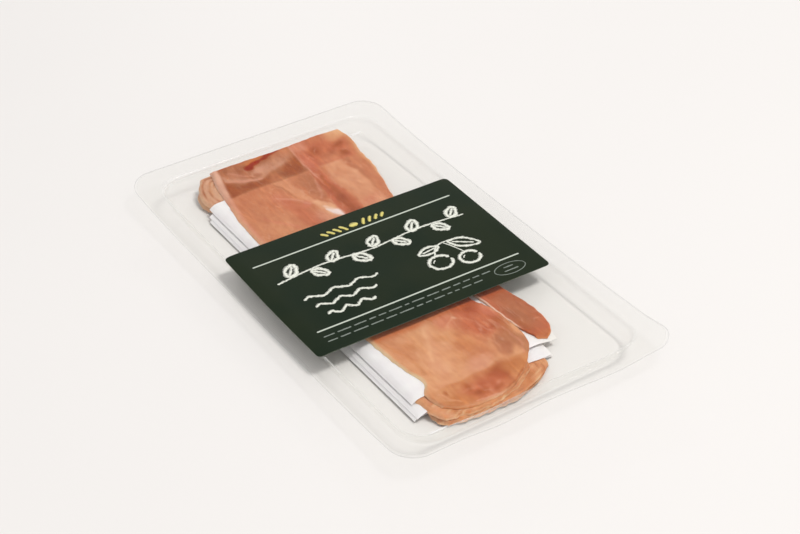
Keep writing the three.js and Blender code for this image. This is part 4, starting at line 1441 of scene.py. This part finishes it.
def rules_and_bars():
    """Two straight rules across the label, and under the lower one two rows of short bars of seeded
    lengths, and an oval ring round two more."""
    rules = [([(-53.3, 28.2), (-20, 28.35), (20, 28.3), (53.4, 28.4)], 1.0),
             ([(-52.8, -27.2), (-20, -27.35), (20, -27.3), (53.3, -27.4)], 1.0)]
    bars = []
    rng = np.random.default_rng(7)
    for y, last in BAR_ROWS:
        x = BARS_START
        while x < last:
            length = rng.uniform(2.4, 7.5)
            bars.append((straight(x, x + length, y), 0.75))
            x += length + BAR_GAP
    bars.append((arc_stroke(OVAL_CENTRE, (8, 3.9), 0, 2 * math.pi, 33), 0.45))
    for y, half in ((-33, 2.6), (-35.6, 3.8)):
        bars.append((straight(OVAL_CENTRE[0] - half, OVAL_CENTRE[0] + half, y), 0.7))
    return rules, bars


ORNAMENT_CENTRE = (2.5, 32.6)


def gold_ornament():
    """A small ornament above the upper rule: a thick short bar between two rows of four leaning strokes,
    which get shorter outwards."""
    middle, y = ORNAMENT_CENTRE
    strokes = [(straight(middle - 2.3, middle + 2.3, y), 3.4)]
    for way in (1, -1):
        for place in range(4):
            x = middle + way * (5.2 + 3.4 * place)
            rise = 2.3 - 0.25 * place
            strokes.append(([(x - way * 1.0, y - rise), (x, y), (x + way * 1.6, y + rise)], 1.7))
    return strokes


def make_print():
    """The print, in four inks, each a piece of its own that stands a little off the label's face."""
    rules, bars = rules_and_bars()
    chalk = chalk_print("chalk_print", rgb(232, 234, 222), cover=0.45)
    pale = flat_print("pale_print", rgb(214, 222, 208))
    grey = flat_print("grey_print", rgb(138, 148, 138))
    gold = flat_print("gold_print", rgb(232, 218, 120))
    make_strokes("print_rules", rules, pale, height=0.02, rough=0.06, seed=400)
    make_strokes("print_chalk", chalk_design(), chalk, height=0.02, rough=0.5, seed=500)
    make_strokes("print_bars", bars, grey, height=0.015, rough=0.3, seed=900)
    make_strokes("print_gold", gold_ornament(), gold, height=0.02, rough=0.12, seed=990)


# ---- Stage, light and camera ----

TABLE_SIZE = 6
TABLE_GAP = 0.05
ROOM_LIGHT = 0.66
CLEAR_LAYERS = 32


def area_lamp(name, shape, sizes, power, direction, distance):
    """An area lamp at a distance, in metres, from the pack in a direction, facing it."""
    light = bpy.data.lights.new(name, "AREA")
    light.shape = shape
    light.size, light.size_y = sizes
    light.energy = power
    outward = Vector(direction).normalized()
    holder = bpy.data.objects.new(name, light)
    holder.location = outward * distance
    holder.rotation_euler = outward.to_track_quat("Z", "Y").to_euler()
    bpy.context.scene.collection.objects.link(holder)
    return light


def make_stage():
    """A large flat table; a round soft lamp overhead, to the right and towards the front, whose shadows
    fall to the back left; a long weak one low behind it, to the right; and the even light of a bright
    room."""
    bpy.ops.mesh.primitive_plane_add(size=TABLE_SIZE, location=(0, 0, -TABLE_GAP * MM))
    table = bpy.context.object
    table.name = "table"
    table.data.materials.append(table_top())
    key = area_lamp("key", "DISK", (0.66, 0.66), 34, (0.277, -0.259, 0.925), 2.5)
    key.color = (1.0, 0.985, 0.965)
    area_lamp("back", "RECTANGLE", (0.5, 0.1), 1.5, (0.55, 1.0, 0.28), 2.0)
    world = bpy.data.worlds.new("room")
    bpy.context.scene.world = world
    world.use_nodes = True
    sky = world.node_tree.nodes["Background"]
    sky.inputs["Color"].default_value = (1.0, 0.99, 0.985, 1)
    sky.inputs["Strength"].default_value = ROOM_LIGHT
    bpy.context.scene.view_settings.view_transform = "Standard"
    bpy.context.scene.cycles.transparent_max_bounces = CLEAR_LAYERS


# The camera, from the pack's outline in the picture, which is 800 pixels wide.
PICTURE_WIDTH = 800
FOCAL_PIXELS = 1759
CAMERA_AZIMUTH = math.radians(-33.77)
CAMERA_ELEVATION = math.radians(36.31)
CAMERA_ROLL = math.radians(-0.24)
CAMERA_DISTANCE = 805
CAMERA_TARGET = Vector((8.9, 2.0, 0))


def make_camera():
    """A camera on a sphere round its target, turned by a small roll about its line of sight."""
    camera = bpy.data.cameras.new("camera")
    camera.sensor_width = 36
    camera.lens = FOCAL_PIXELS / PICTURE_WIDTH * camera.sensor_width
    holder = bpy.data.objects.new("camera", camera)
    level = math.cos(CAMERA_ELEVATION)
    back = Vector((math.sin(CAMERA_AZIMUTH) * level, -math.cos(CAMERA_AZIMUTH) * level,
                   math.sin(CAMERA_ELEVATION)))
    right = Vector((math.cos(CAMERA_AZIMUTH), math.sin(CAMERA_AZIMUTH), 0))
    up = back.cross(right)
    turned_right = right * math.cos(CAMERA_ROLL) + up * math.sin(CAMERA_ROLL)
    turned_up = up * math.cos(CAMERA_ROLL) - right * math.sin(CAMERA_ROLL)
    place = Matrix((turned_right, turned_up, back)).transposed().to_4x4()
    place.translation = (CAMERA_TARGET + back * CAMERA_DISTANCE) * MM
    holder.matrix_world = place
    bpy.context.scene.collection.objects.link(holder)
    bpy.context.scene.camera = holder


make_camera()
make_stage()
make_tray()
make_papers()
make_slices()
make_film()
make_label()
make_print()
